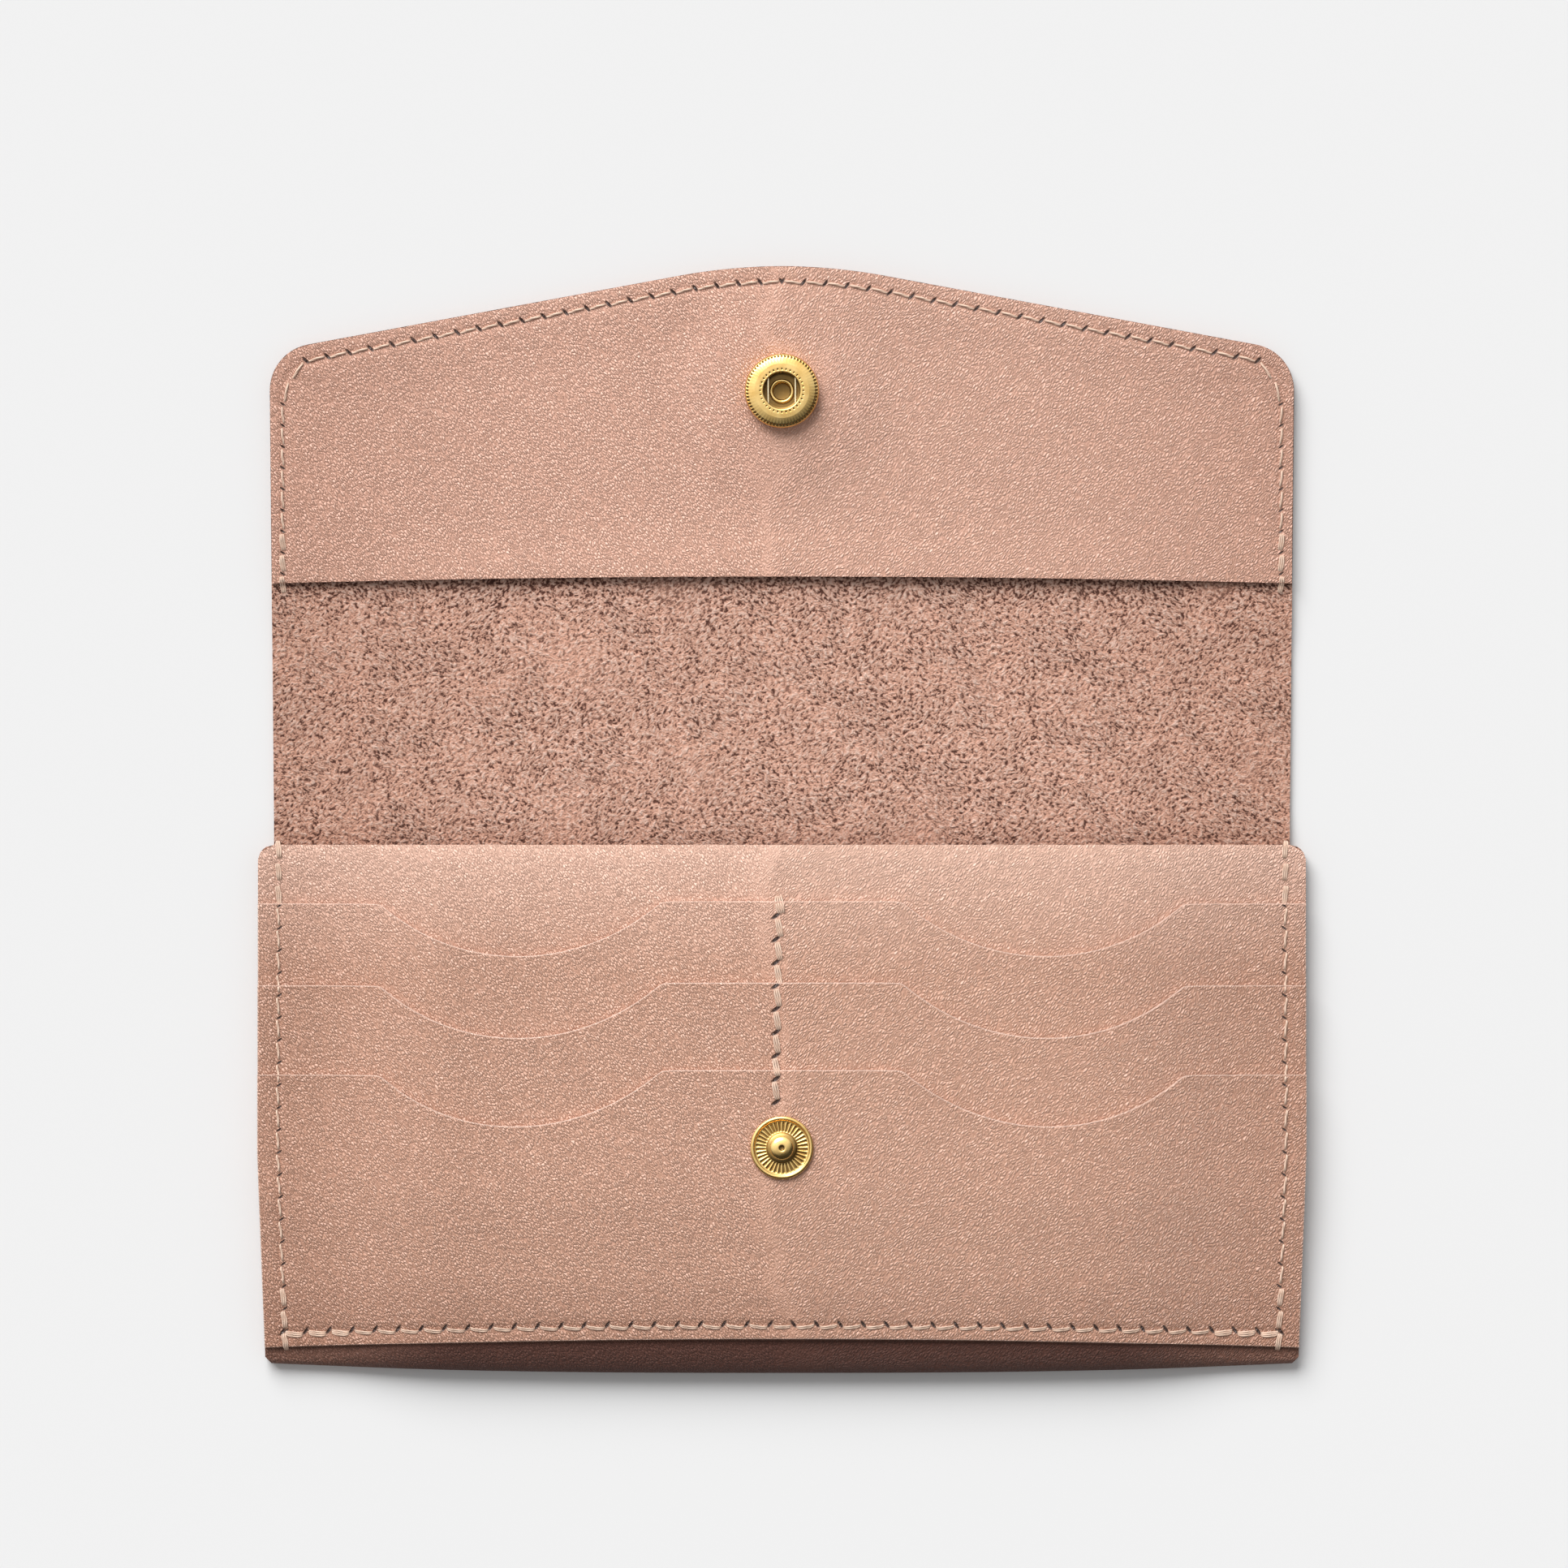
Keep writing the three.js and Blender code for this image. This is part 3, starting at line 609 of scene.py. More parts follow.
def make_smooth_hide(name, tone, seams=(), pale=0.0, dark_fold=False):
    """Grained cowhide; seams are the awl holes in it, pale paints a highlight on an edge."""
    material, tree, shader = start_material(name, 0.5)
    grain = use_group(tree, GRAIN)
    cloud = maths(tree, "MULTIPLY_ADD", grain.outputs["Cloud"], 1.3, -0.3, clamp=True)
    colour = blend_colour(tree, cloud, tuple(0.9 * value for value in tone), tone)
    # Painted shade in the grain's creases, then a painted highlight on its crowns
    colour = blend_colour(tree, maths(tree, "MULTIPLY", grain.outputs["Creases"], 0.55), colour, HIDE_DARK)
    crown = maths(tree, "MULTIPLY_ADD", grain.outputs["Height"], 2.2, -2.0, clamp=True)
    colour = blend_colour(tree, maths(tree, "MULTIPLY", crown, 0.45), colour, HIDE_PALE)
    # A painted highlight, mixed in all over, for an edge that catches the light
    if pale:
        colour = blend_colour(tree, pale, colour, HIDE_PALE)
    # Painted shade towards the wallet's sides and its foot
    colour = paint_side_shade(tree, colour, 0.42, 0.42, FOLD_Y + 34 * MM, 28 * MM)
    place = split_place(tree)
    # A painted sheen, paler towards the pouch's mouth
    from_mouth = maths(tree, "ABSOLUTE", maths(tree, "SUBTRACT", place["Y"], MOUTH_Y))
    mouth_sheen = maths(tree, "MULTIPLY_ADD", from_mouth, -1 / MOUTH_SHEEN_REACH, 1.0, clamp=True)
    colour = blend_colour(tree, maths(tree, "MULTIPLY", mouth_sheen, 0.55), colour, MOUTH_SHEEN_TONE)
    rough = maths(tree, "MULTIPLY_ADD", grain.outputs["Creases"], 0.14, 0.46)
    if dark_fold:
        # Painted shade on the fold: below the hem, strongest at the middle, and only on the front's side
        bow = maths(tree, "MULTIPLY", maths(tree, "POWER", place["X"], 2.0), BOW_OF_HEM)
        below = maths(tree, "SUBTRACT", HEM_Y + 0.8 * MM, maths(tree, "ADD", place["Y"], bow))
        wear_and_fold_shade = maths(tree, "MULTIPLY", below, 1 / (1.2 * MM), clamp=True)
        from_end = maths(tree, "SUBTRACT", HALF_POUCH, maths(tree, "ABSOLUTE", place["X"]))
        faded = maths(tree, "MULTIPLY_ADD", from_end, 0.25 / (35 * MM), 0.75, clamp=True)
        front = maths(tree, "MULTIPLY_ADD", place["Z"], 1 / (1.5 * MM), -0.2, clamp=True)
        fold = maths(tree, "MULTIPLY", maths(tree, "MULTIPLY", wear_and_fold_shade, faded), front)
        colour = blend_colour(tree, fold, colour, FOLD_SHADE_TONE)
        rough = maths(tree, "MULTIPLY_ADD", fold, 0.34, rough)
    height = grain.outputs["Relief"]
    if seams:
        holes = use_group(tree, HOLES, **seams[0]).outputs["Hole"]
        for seam in seams[1:]:
            holes = maths(tree, "MAXIMUM", holes, use_group(tree, HOLES, **seam).outputs["Hole"])
        # The awl holes are painted dark, a painted shade in them
        colour = blend_colour(tree, holes, colour, HOLE_TONE)
        height = maths(tree, "MULTIPLY_ADD", holes, -1.5, height)
    bump = node(tree, "ShaderNodeBump", {"Height": height}, Strength=1.0, Distance=0.00025)
    tree.links.new(colour, shader.inputs["Base Color"])
    tree.links.new(rough, shader.inputs["Roughness"])
    tree.links.new(bump.outputs["Normal"], shader.inputs["Normal"])
    shader.inputs["Specular IOR Level"].default_value = 0.75
    return material


def make_suede():
    material, tree, shader = start_material("suede of the flesh side", 0.95)
    place = node(tree, "ShaderNodeTexCoord").outputs["Object"]
    drift = node(tree, "ShaderNodeTexNoise", {"Vector": place}, Scale=420.0, Detail=2.0)
    push = node(tree, "ShaderNodeVectorMath", {0: drift.outputs["Color"]}, operation="SCALE", Scale=0.9 * MM)
    moved = node(tree, "ShaderNodeVectorMath", {0: place, 1: push.outputs[0]}, operation="ADD")
    naps = []
    for angle in (0.6, -0.75):
        turned = node(tree, "ShaderNodeVectorRotate", {"Vector": moved.outputs[0]}, rotation_type="Z_AXIS",
                      Angle=angle)
        drawn = node(tree, "ShaderNodeVectorMath", {0: turned.outputs[0]}, operation="MULTIPLY")
        drawn.inputs[1].default_value = (0.5, 1.0, 0.8)
        naps.append(node(tree, "ShaderNodeTexNoise", {"Vector": drawn.outputs[0]}, Scale=2900.0, Detail=3.0,
                         Roughness=0.65).outputs["Fac"])
    lay = node(tree, "ShaderNodeTexNoise", {"Vector": place}, Scale=75.0, Detail=1.0)
    turn = maths(tree, "MULTIPLY_ADD", lay.outputs["Fac"], 6.0, -2.5, clamp=True)
    nap = maths(tree, "MULTIPLY_ADD", maths(tree, "SUBTRACT", naps[1], naps[0]), turn, naps[0])
    clumps = node(tree, "ShaderNodeTexNoise", {"Vector": moved.outputs[0]}, Scale=1450.0, Detail=2.0)
    height = maths(tree, "MULTIPLY_ADD", clumps.outputs["Fac"], 0.55, maths(tree, "MULTIPLY", nap, 0.6))
    patches = node(tree, "ShaderNodeTexNoise", {"Vector": place}, Scale=58.0, Detail=4.0, Roughness=0.6)
    wear_and_fold_shade = maths(tree, "MULTIPLY_ADD", patches.outputs["Fac"], 6.5, -3.35, clamp=True)
    y = node(tree, "ShaderNodeSeparateXYZ", {"Vector": place}).outputs["Y"]
    # Painted shadow under the lining's free edge: the dark pits grow denser just below it
    lining_shadow_foot = LINING_EDGE_Y - 1 * MM - LINING_SHADOW_REACH
    lining_shadow = maths(tree, "MULTIPLY_ADD", y, 1 / LINING_SHADOW_REACH, -lining_shadow_foot / LINING_SHADOW_REACH, clamp=True)
    limit = maths(tree, "MULTIPLY_ADD", lining_shadow, 0.05, 0.55)
    # Painted shade in the pits between the naps, and a painted highlight on their tips
    pits = maths(tree, "MULTIPLY", maths(tree, "SUBTRACT", limit, height), 13.0, clamp=True)
    pits = maths(tree, "MULTIPLY", pits, maths(tree, "MULTIPLY_ADD", wear_and_fold_shade, -0.5, 0.95))
    tips = maths(tree, "MULTIPLY_ADD", height, 9.0, -5.2, clamp=True)
    tint = maths(tree, "MULTIPLY_ADD", patches.outputs["Fac"], 2.2, -0.6, clamp=True)
    colour = blend_colour(tree, tint, tuple(0.86 * value for value in SUEDE_TONE), SUEDE_TONE)
    colour = blend_colour(tree, maths(tree, "MULTIPLY", tips, 0.85), colour, SUEDE_PALE)
    colour = blend_colour(tree, pits, colour, SUEDE_DARK)
    # Painted shade towards the sides, and down towards the pouch's mouth
    colour = paint_side_shade(tree, colour, 0.32, 0.3, MOUTH_Y + 9 * MM, 9 * MM)
    bump = node(tree, "ShaderNodeBump", {"Height": height}, Strength=1.0, Distance=0.0016)
    tree.links.new(colour, shader.inputs["Base Color"])
    tree.links.new(bump.outputs["Normal"], shader.inputs["Normal"])
    shader.inputs["Sheen Weight"].default_value = 0.1
    shader.inputs["Specular IOR Level"].default_value = 0.1
    return material


def make_raw_edge():
    material, tree, shader = start_material("raw cut edge", 0.85)
    place = node(tree, "ShaderNodeTexCoord").outputs["Object"]
    fibres = node(tree, "ShaderNodeTexNoise", {"Vector": place}, Scale=1400.0, Detail=4.0, Roughness=0.7)
    colour = blend_colour(tree, fibres.outputs["Fac"], RAW_DARK, RAW_TONE)
    bump = node(tree, "ShaderNodeBump", {"Height": fibres.outputs["Fac"]}, Strength=0.7, Distance=0.0002)
    tree.links.new(colour, shader.inputs["Base Color"])
    tree.links.new(bump.outputs["Normal"], shader.inputs["Normal"])
    return material


# %% Places of the awl holes
HOLE_OFFSET = 0.3 * MM
TIP_HOLES = 5
LOW_STITCHES = 9


def holes_along(start, towards, count, offset=0.0, **values):
    """Inputs of the holes group for count holes from start, as far apart as start and towards are.

    The offset sets them to the left of the line.
    """
    step = np.subtract(towards, start)
    pitch = float(np.hypot(*step))
    along = step / pitch
    start = np.array(start) + offset * np.array([-along[1], along[0]])
    return dict(Start=(float(start[0]), float(start[1]), 0.0), Along=(float(along[0]), float(along[1]), 0.0),
                Pitch=pitch, Length=(count + 0.3) * pitch, **values)


def side_point(k):
    y = SIDE_SEAM_BOTTOM + k * SIDE_PITCH
    return float(side_seam(np.array(y))), y


def flap_top_point(k):
    return k * FLAP_PITCH, float(flap_edge(k * FLAP_PITCH)) - FLAP_TOP_INSET


def flap_side_point(k):
    return HALF_FLAP - FLAP_SEAM_INSET, FLAP_SIDE_TOP - k * FLAP_SIDE_PITCH


centre_low = (CENTRE_SEAM_X, CENTRE_SEAM_BOTTOM)
centre_next = (CENTRE_SEAM_X, CENTRE_SEAM_BOTTOM + CENTRE_PITCH)
pocket_holes = [
    holes_along(side_point(0), side_point(1), LOW_STITCHES - 1, HOLE_OFFSET, Slant=-1.0, Width=0.26 * MM),
    holes_along(side_point(LOW_STITCHES), side_point(LOW_STITCHES + 1), SIDE_STITCHES - LOW_STITCHES - 1,
                HOLE_OFFSET, Slant=-1.0, Width=0.26 * MM),
    holes_along((BOTTOM_PITCH / 2, BOTTOM_SEAM_Y), (1.5 * BOTTOM_PITCH, BOTTOM_SEAM_Y), BOTTOM_STITCHES,
                HOLE_OFFSET, Bow=BOW_OF_HEM),
    holes_along(centre_low, centre_next, CENTRE_STITCHES, 0.4 * MM, Mirror=0.0, Width=0.5 * MM),
]
lining_holes = [
    holes_along((0.0, TIP_Y - FLAP_TOP_INSET), (FLAP_PITCH, TIP_Y - FLAP_TOP_INSET), TIP_HOLES - 1,
                Bow=1 / (2 * TIP_RADIUS), Slant=-1.0),
    holes_along(flap_top_point(TIP_HOLES), flap_top_point(TIP_HOLES + 1), FLAP_TOP_STITCHES - TIP_HOLES,
                Slant=-1.0),
    holes_along(flap_side_point(0), flap_side_point(1), FLAP_SIDE_STITCHES, Width=0.25 * MM),
]

outer_hide = make_smooth_hide("smooth outer hide", HIDE, dark_fold=True)
pocket_hide = make_smooth_hide("pocket hide", HIDE, pocket_holes)
lining_hide = make_smooth_hide("lining hide", LINING_TONE, lining_holes)
# The pockets' cut edges and bevels are painted pale, a painted highlight
edge_highlight_hide = make_smooth_hide("burnished pocket edge", HIDE, pale=0.6)
suede = make_suede()
raw_edge = make_raw_edge()
leathers = (outer_hide, pocket_hide, lining_hide, edge_highlight_hide, suede, raw_edge)
print("made", [material.name for material in leathers])


# %% Brass, wire and thread
BRASS_TONE = (0.92, 0.66, 0.27)
BRASS_DARK = (0.70, 0.44, 0.14)
# The wire is paler than the brass, partly its own tone and partly painted light for the light it lacks in the
# socket
WIRE_TONE = (0.97, 0.86, 0.62)
WIRE_DARK = (0.78, 0.62, 0.36)
PATINA_AND_SHADE_TONE = (0.12, 0.058, 0.016)
THREAD_TONE = (0.84, 0.62, 0.48)
# The thread's dark tone is painted shade between its plies
THREAD_DARK = (0.36, 0.19, 0.12)


def make_brass(name, tone, dark, roughness):
    """Brass whose points can carry an attribute that darkens it: patina, and painted shade in its hollows."""
    material, tree, shader = start_material(name, roughness, 1.0)
    place = node(tree, "ShaderNodeTexCoord").outputs["Object"]
    stain = node(tree, "ShaderNodeTexNoise", {"Vector": place}, Scale=420.0, Detail=3.0)
    scratch = node(tree, "ShaderNodeTexNoise", {"Vector": place}, Scale=5200.0, Detail=2.0)
    wear_and_fold_shade = maths(tree, "MULTIPLY_ADD", stain.outputs["Fac"], 2.2, -0.7, clamp=True)
    patina = node(tree, "ShaderNodeAttribute", attribute_name="patina").outputs["Fac"]
    colour = blend_colour(tree, patina, blend_colour(tree, wear_and_fold_shade, dark, tone), PATINA_AND_SHADE_TONE)
    tree.links.new(colour, shader.inputs["Base Color"])
    grain = maths(tree, "MULTIPLY_ADD", scratch.outputs["Fac"], 0.2, roughness - 0.08)
    rough = maths(tree, "MULTIPLY_ADD", patina, 0.3, grain)
    bump = node(tree, "ShaderNodeBump", {"Height": scratch.outputs["Fac"]}, Strength=0.12, Distance=0.00004)
    tree.links.new(rough, shader.inputs["Roughness"])
    tree.links.new(bump.outputs["Normal"], shader.inputs["Normal"])
    return material


def make_thread():
    material, tree, shader = start_material("waxed thread", 0.6)
    uv = node(tree, "ShaderNodeTexCoord").outputs["UV"]
    split = node(tree, "ShaderNodeSeparateXYZ", {"Vector": uv})
    round_it = maths(tree, "MULTIPLY", split.outputs["X"], 2.0)
    lay = maths(tree, "MULTIPLY_ADD", split.outputs["Y"], 5.0, round_it)
    strand = maths(tree, "ABSOLUTE", maths(tree, "SINE", maths(tree, "MULTIPLY", lay, math.pi)))
    place = node(tree, "ShaderNodeTexCoord").outputs["Object"]
    fuzz = node(tree, "ShaderNodeTexNoise", {"Vector": place}, Scale=900.0, Detail=3.0)
    # Painted shade between the twisted plies, lighter on each ply's crown
    ply_shading = maths(tree, "MULTIPLY", strand, 0.7)
    tint = maths(tree, "MULTIPLY_ADD", fuzz.outputs["Fac"], 0.5, ply_shading, clamp=True)
    tree.links.new(blend_colour(tree, tint, THREAD_DARK, THREAD_TONE), shader.inputs["Base Color"])
    bump = node(tree, "ShaderNodeBump", {"Height": strand}, Strength=0.7, Distance=0.00012)
    tree.links.new(bump.outputs["Normal"], shader.inputs["Normal"])
    shader.inputs["Sheen Weight"].default_value = 0.2
    return material


brass = make_brass("polished brass", BRASS_TONE, BRASS_DARK, 0.2)
wire_brass = make_brass("drawn wire", WIRE_TONE, WIRE_DARK, 0.3)
thread = make_thread()
print("made", brass.name, wire_brass.name, thread.name)

# %% [markdown]
# ## Outer leather
# The hide is one sheet on the real wallet, so it is laid as one grid, cut from the flap's tip to the
# pouch's mouth. Its rows are numbered along the sheet: 0 to 1 is the flap, 1 to 2 the neck and the back,
# 2 to 3 the bottom fold and 3 to 4 the front. The grain faces out, which is down while the wallet is open.

# %% Columns and rows of the outer sheet
BACK_END_Y = FOLD_Y + 22 * MM
arc_angles = np.radians(np.arange(0, 91, 5))
arc_columns = (CORNER_CENTRE_X + CORNER_RADIUS * np.sin(arc_angles)) / HALF_FLAP
outer_columns = mirrored(np.concatenate([np.linspace(0, arc_columns[0], 74), arc_columns[1:]]))
flap_rows = np.linspace(0, 1, 46)
bend_zone = 7 * MM
neck_y = spaced(
    [FLAP_ROOT_Y, UPPER_BEND[1] + bend_zone, LOWER_BEND[1] - bend_zone, MOUTH_Y, MOUTH_Y - SHOULDER_RADIUS,
     BACK_END_Y],
    [2.2 * MM, 0.6 * MM, 0.6 * MM, 0.4 * MM, 2.6 * MM],
)
neck_rows = 1 + np.linspace(0, 1, len(neck_y))
fold_rows = 2 + np.linspace(0, 1, 29)
front_rows = 3 + np.linspace(0, 1, 72)
outer_rows = np.concatenate([flap_rows, neck_rows[1:], fold_rows[1:], front_rows[1:]])


def fold_form(x):
    """Half height, depth and start of the bottom fold at x, at its outer face."""
    half_height = (pouch_gap(x) - HEM_DROOP * pinch(x) + 2 * LEATHER) / 2
    depth = half_height * (1 + (FOLD_ROUNDNESS - 1) * pinch(x))
    start = FOLD_Y + CORNER_LIFT * np.abs(x / HALF_POUCH) ** 2.6
    return half_height, depth, start + depth


def dome(x, y):
    """How the flap rises over the snap's cap, which lies under it."""
    distance = np.hypot(x, y - SOCKET_Y)
    return CAP_LIFT * (1 - smooth((distance - DOME_FLAT) / (DOME_REACH - DOME_FLAT)))


def place_outer(u, v):
    on_flap = v <= 1
    on_back = (v > 1) & (v <= 2)
    on_fold = (v > 2) & (v <= 3)
    edge = flap_edge(u * HALF_FLAP)
    y = edge + (FLAP_ROOT_Y - edge) * v
    y = np.where(on_back, np.interp(v, neck_rows, neck_y), y)
    y = np.where(v == 2, fold_form(u * (HALF_POUCH - BOTTOM_TAPER))[2], y)
    width = np.where(y < MOUTH_Y, half_pouch(y), half_flap(y))
    x = u * np.where(on_flap, half_flap(y), width)
    fold_y = fold_form(u * (HALF_POUCH - BOTTOM_TAPER))[2]
    x = np.where(on_fold, u * (half_pouch(fold_y) - CORNER_CUT * np.sin((v - 2) * np.pi)), x)
    half_height, depth, fold_y = fold_form(x)
    turn = (v - 2).clip(0, 1) * np.pi
    front_y = fold_y + (MOUTH_Y - fold_y) * (v - 3).clip(0, 1)
    front_x = u * half_pouch(front_y)
    half_height = np.where(v > 3, fold_form(front_x)[0], half_height)
    z = np.zeros_like(x)
    z = np.where(v > 2, half_height * (1 - np.cos(turn)), z)
    y = np.where(on_fold, fold_y - depth * np.sin(turn), y)
    y = np.where(v > 3, front_y, y)
    x = np.where(v > 3, front_x, x)
    lift = np.where(on_flap, dome(x, y) + flap_rim_lift(x, y), pouch_rim_lift(x, y))
    shape = front_ripple(x, y) - front_grooves(x, y) + HEM_DROOP * pinch(x) - droop(x, y) - mouth_round(y)
    lift = lift + np.where(v > 3, shape, 0)
    return x, y, z + lift


outer_sheet = lay_grid("outer_leather", outer_columns, outer_rows, place_outer)
print("outer sheet:", len(outer_sheet.data.polygons), "faces before its thickness")

# %% [markdown]
# The grid's first row is the tip and its last the mouth, so its faces look down and out, where the grain
# is, and the thickness is added inwards. Then the sheet is cut in two at the middle of the neck, halfway
# between the neck's two bend lines.

# %% Thickness, and the cut at the neck
back_face = max(outer_sheet.data.polygons, key=lambda face: face.center.y)
print("grain side faces down:", back_face.normal.z < 0)
paint(outer_sheet, outer_hide, suede, raw_edge)
thicken(outer_sheet, LEATHER)


def cut_off(piece, y, keep_low):
    """Cuts the piece across at y and closes the cut."""
    only(piece)
    bpy.ops.object.mode_set(mode="EDIT")
    bpy.ops.mesh.select_all(action="SELECT")
    bpy.ops.mesh.bisect(
        plane_co=(0, y, 0), plane_no=(0, 1, 0), use_fill=True, clear_outer=keep_low, clear_inner=not keep_low,
    )
    bpy.ops.object.mode_set(mode="OBJECT")
    bpy.ops.object.shade_smooth_by_angle(angle=math.radians(40))


flap_sheet = outer_sheet.copy()
flap_sheet.data = outer_sheet.data.copy()
flap_sheet.name = "flap_outer_leather"
bpy.context.scene.collection.objects.link(flap_sheet)
outer_sheet.name = "pouch_outer_leather"
cut_off(outer_sheet, NECK_MIDDLE, True)
cut_off(flap_sheet, NECK_MIDDLE, False)
cut_post_hole(outer_sheet, STUD_HOLE, STUD_Y, *STUD_HOLE_HEIGHTS)
cut_post_hole(flap_sheet, SOCKET_HOLE, SOCKET_Y, *SOCKET_HOLE_HEIGHTS)
print("pouch leather:", len(outer_sheet.data.polygons), "flap leather:", len(flap_sheet.data.polygons))

# %% Hide the solids that the outer leather replaces, and bake the sheets' transforms
for piece, hinge, a, b, nodes in (
    (outer_sheet, LOWER_BEND, "pouch", "spine", ("body_leather", "spine_leather")),
    (flap_sheet, UPPER_BEND, "spine", "flap", ("flap_leather",)),
):
    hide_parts(*nodes)
    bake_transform(piece)

# %% [markdown]
# ## Flap lining
# A thinner hide, smooth side up, is sewn inside the flap. Its free edge is cut straight with a slight
# bow, isn't sewn down, and stands a little off the suede, which gives the dark line under it.

# %% Flap lining
LINING_SEAT = LEATHER + LINING_GAP
LINING_INSET = 0.15 * MM
LINING_LIFT = 0.55 * MM
lining_rows = spaced([0, 0.12, 0.9, 1], [0.12 / 13, 0.78 / 35, 0.1 / 7])


def lining_face(x, y):
    """Height of the lining's smooth side, apart from the lift of its free edge."""
    ripple = flap_ripple(x, y) * smooth((SIDE_SEAM_X - np.abs(x)) / (12 * MM))
    return LINING_SEAT + LINING + dome(x, y) + flap_rim_lift(x, y) + ripple - flap_grooves(x, y)


def place_lining(u, v):
    top = flap_edge(u * HALF_FLAP) - LINING_INSET
    low = LINING_EDGE_Y - LINING_EDGE_BOW * u**2
    y = top + (low - top) * v
    x = u * (half_flap(y) - LINING_INSET)
    free = (1 - smooth((np.abs(x) - 50 * MM) / (42 * MM))) * (1 - smooth((y - low) / (11 * MM)))
    return x, y, lining_face(x, y) + LINING_LIFT * free


lining = lay_grid("flap_lining_leather", outer_columns, lining_rows[::-1], place_lining)
paint(lining, lining_hide, suede, raw_edge)
thicken(lining, LINING)
cut_post_hole(lining, SOCKET_HOLE, SOCKET_Y, *SOCKET_HOLE_HEIGHTS)
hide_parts("flap_lining")
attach(lining, "flap")
print("lining faces:", len(lining.data.polygons))

# %% [markdown]
# ## Card pockets
# Three sheets lie on each other, each with two thumb scallops in its top edge. A scallop is an arc whose
# ends are eased with a small radius. Below a pocket's end the sheet above it steps down on to the next.

# %% Outline of a pocket's top edge
POCKET_DROP = {"top": 10.7 * MM, "middle": 26.2 * MM, "front": 42.8 * MM}
POCKET_END_DROP = {"top": 0.5 * MM, "middle": 0.6 * MM, "front": 1.0 * MM}
POCKET_NAMES = list(POCKET_DROP)
POCKET_DEPTH = 54 * MM
SCALLOP_CENTRE = 49.7 * MM
SCALLOP_HALF = 26.9 * MM
SCALLOP_DEPTH = 10.2 * MM
SCALLOP_EASE = 1.3 * MM
RAMP_LENGTH = 16 * MM
RAMP_MARGIN = 0.6 * MM
LIP = 0.12 * MM
pocket_top = [MOUTH_Y - POCKET_DROP[name] for name in POCKET_NAMES]
pocket_bottom = [top - POCKET_DEPTH for top in pocket_top]


def scallop(x):
    """Depth of the scallop at x, with its two ends eased."""
    radius = (SCALLOP_HALF**2 + SCALLOP_DEPTH**2) / (2 * SCALLOP_DEPTH)
    from_middle = np.abs(np.abs(x) - SCALLOP_CENTRE)
    arc = np.sqrt(np.maximum(radius**2 - from_middle**2, 0)) - (radius - SCALLOP_DEPTH)
    return (arc + np.sqrt(arc**2 + (0.35 * SCALLOP_EASE) ** 2)) / 2


def pocket_edge(level, x):
    outer = smooth((np.abs(x) - SCALLOP_CENTRE + SCALLOP_HALF) / (2 * SCALLOP_HALF))
    return pocket_top[level] - POCKET_END_DROP[POCKET_NAMES[level]] * outer - scallop(x)


def pocket_foot(level, x):
    if level == 2:
        return HEM_Y - CORNER_LIFT * (x / HALF_POUCH) ** 2
    return np.full_like(x, pocket_bottom[level])


def layer_lift(level, y):
    lift = SHEET_GAP
    for below in range(level):
        start = pocket_bottom[below] - RAMP_MARGIN - RAMP_LENGTH
        lift = lift + (POCKET + SHEET_GAP) * smooth((y - start) / RAMP_LENGTH)
    return lift


def stack_height(level, x, y):
    """Height of the smooth side of pocket number level at a point; -1 gives the front panel."""
    base = 2 * LEATHER + pouch_gap(x) - droop(x, y) + pouch_rim_lift(x, y)
    base = base + front_ripple(x, y) - front_grooves(x, y)
    if level < 0:
        return base - mouth_round(y)
    return base + layer_lift(level, y) + POCKET


# %% Card pocket sheets
ease = np.array([0.3, 0.6, 1.0, 1.5, 2.1]) * MM
corner_columns = [
    SCALLOP_CENTRE + side * SCALLOP_HALF + sign * step
    for side in (-1, 1) for sign in (-1, 1) for step in np.append(ease, 0)
]
seam_columns = SIDE_SEAM_X + np.arange(-5, 8) * 0.55 * MM
side_columns = np.concatenate([
    np.arange(0, 91, 1.3) * MM, np.array([0.4, 0.8]) * MM, corner_columns, seam_columns,
])
side_columns = np.unique(np.round(side_columns[side_columns < HALF_POUCH - 0.1 * MM], 6))
keep_column = np.append(True, np.diff(side_columns) > 0.18 * MM)
pocket_columns = mirrored(np.append(side_columns[keep_column], HALF_POUCH) / HALF_POUCH)
near_edge = np.array([0, 0.25, 0.55, 0.95, 1.5, 2.2, 3.0]) * MM


def make_pocket(level):
    def place(u, v):
        x = u * HALF_POUCH
        for _ in range(2):
            top = pocket_edge(level, x)
            foot = pocket_foot(level, x)
            y = top + (foot - top) * v
            x = u * half_pouch(y)
        lip = LIP * np.exp(-(top - y) / (1.6 * MM))
        return x, y, stack_height(level, x, y) + lip

    height = pocket_top[level] - pocket_bottom[level]
    shares = np.concatenate([near_edge / height, np.linspace(near_edge[-1] / height, 0.86, 36)[1:],
                             np.linspace(0.86, 1, 14)[1:]])
    piece = lay_grid("pocket_sheet_" + POCKET_NAMES[level], pocket_columns, shares[::-1], place)
    paint(piece, pocket_hide, suede, edge_highlight_hide)
    thicken(piece, POCKET, 0.36 * MM, edge_slot=2)
    cut_post_hole(piece, STUD_HOLE, STUD_Y, *STUD_HOLE_HEIGHTS)
    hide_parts("card_pocket_" + POCKET_NAMES[level])
    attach(piece, "pouch")
    print(piece.name, len(piece.data.polygons), "faces")


for level in range(3):
    make_pocket(level)

# %% [markdown]
# ## Stitches
# A stitch is a short length of two ply thread that comes out of one hole, lies slightly bowed on the
# leather, and goes down the next. It is modelled once from a cylinder, and each copy is set along its
# seam. At the ends of a seam the thread is sewn back over itself, so two or three strands lie together.

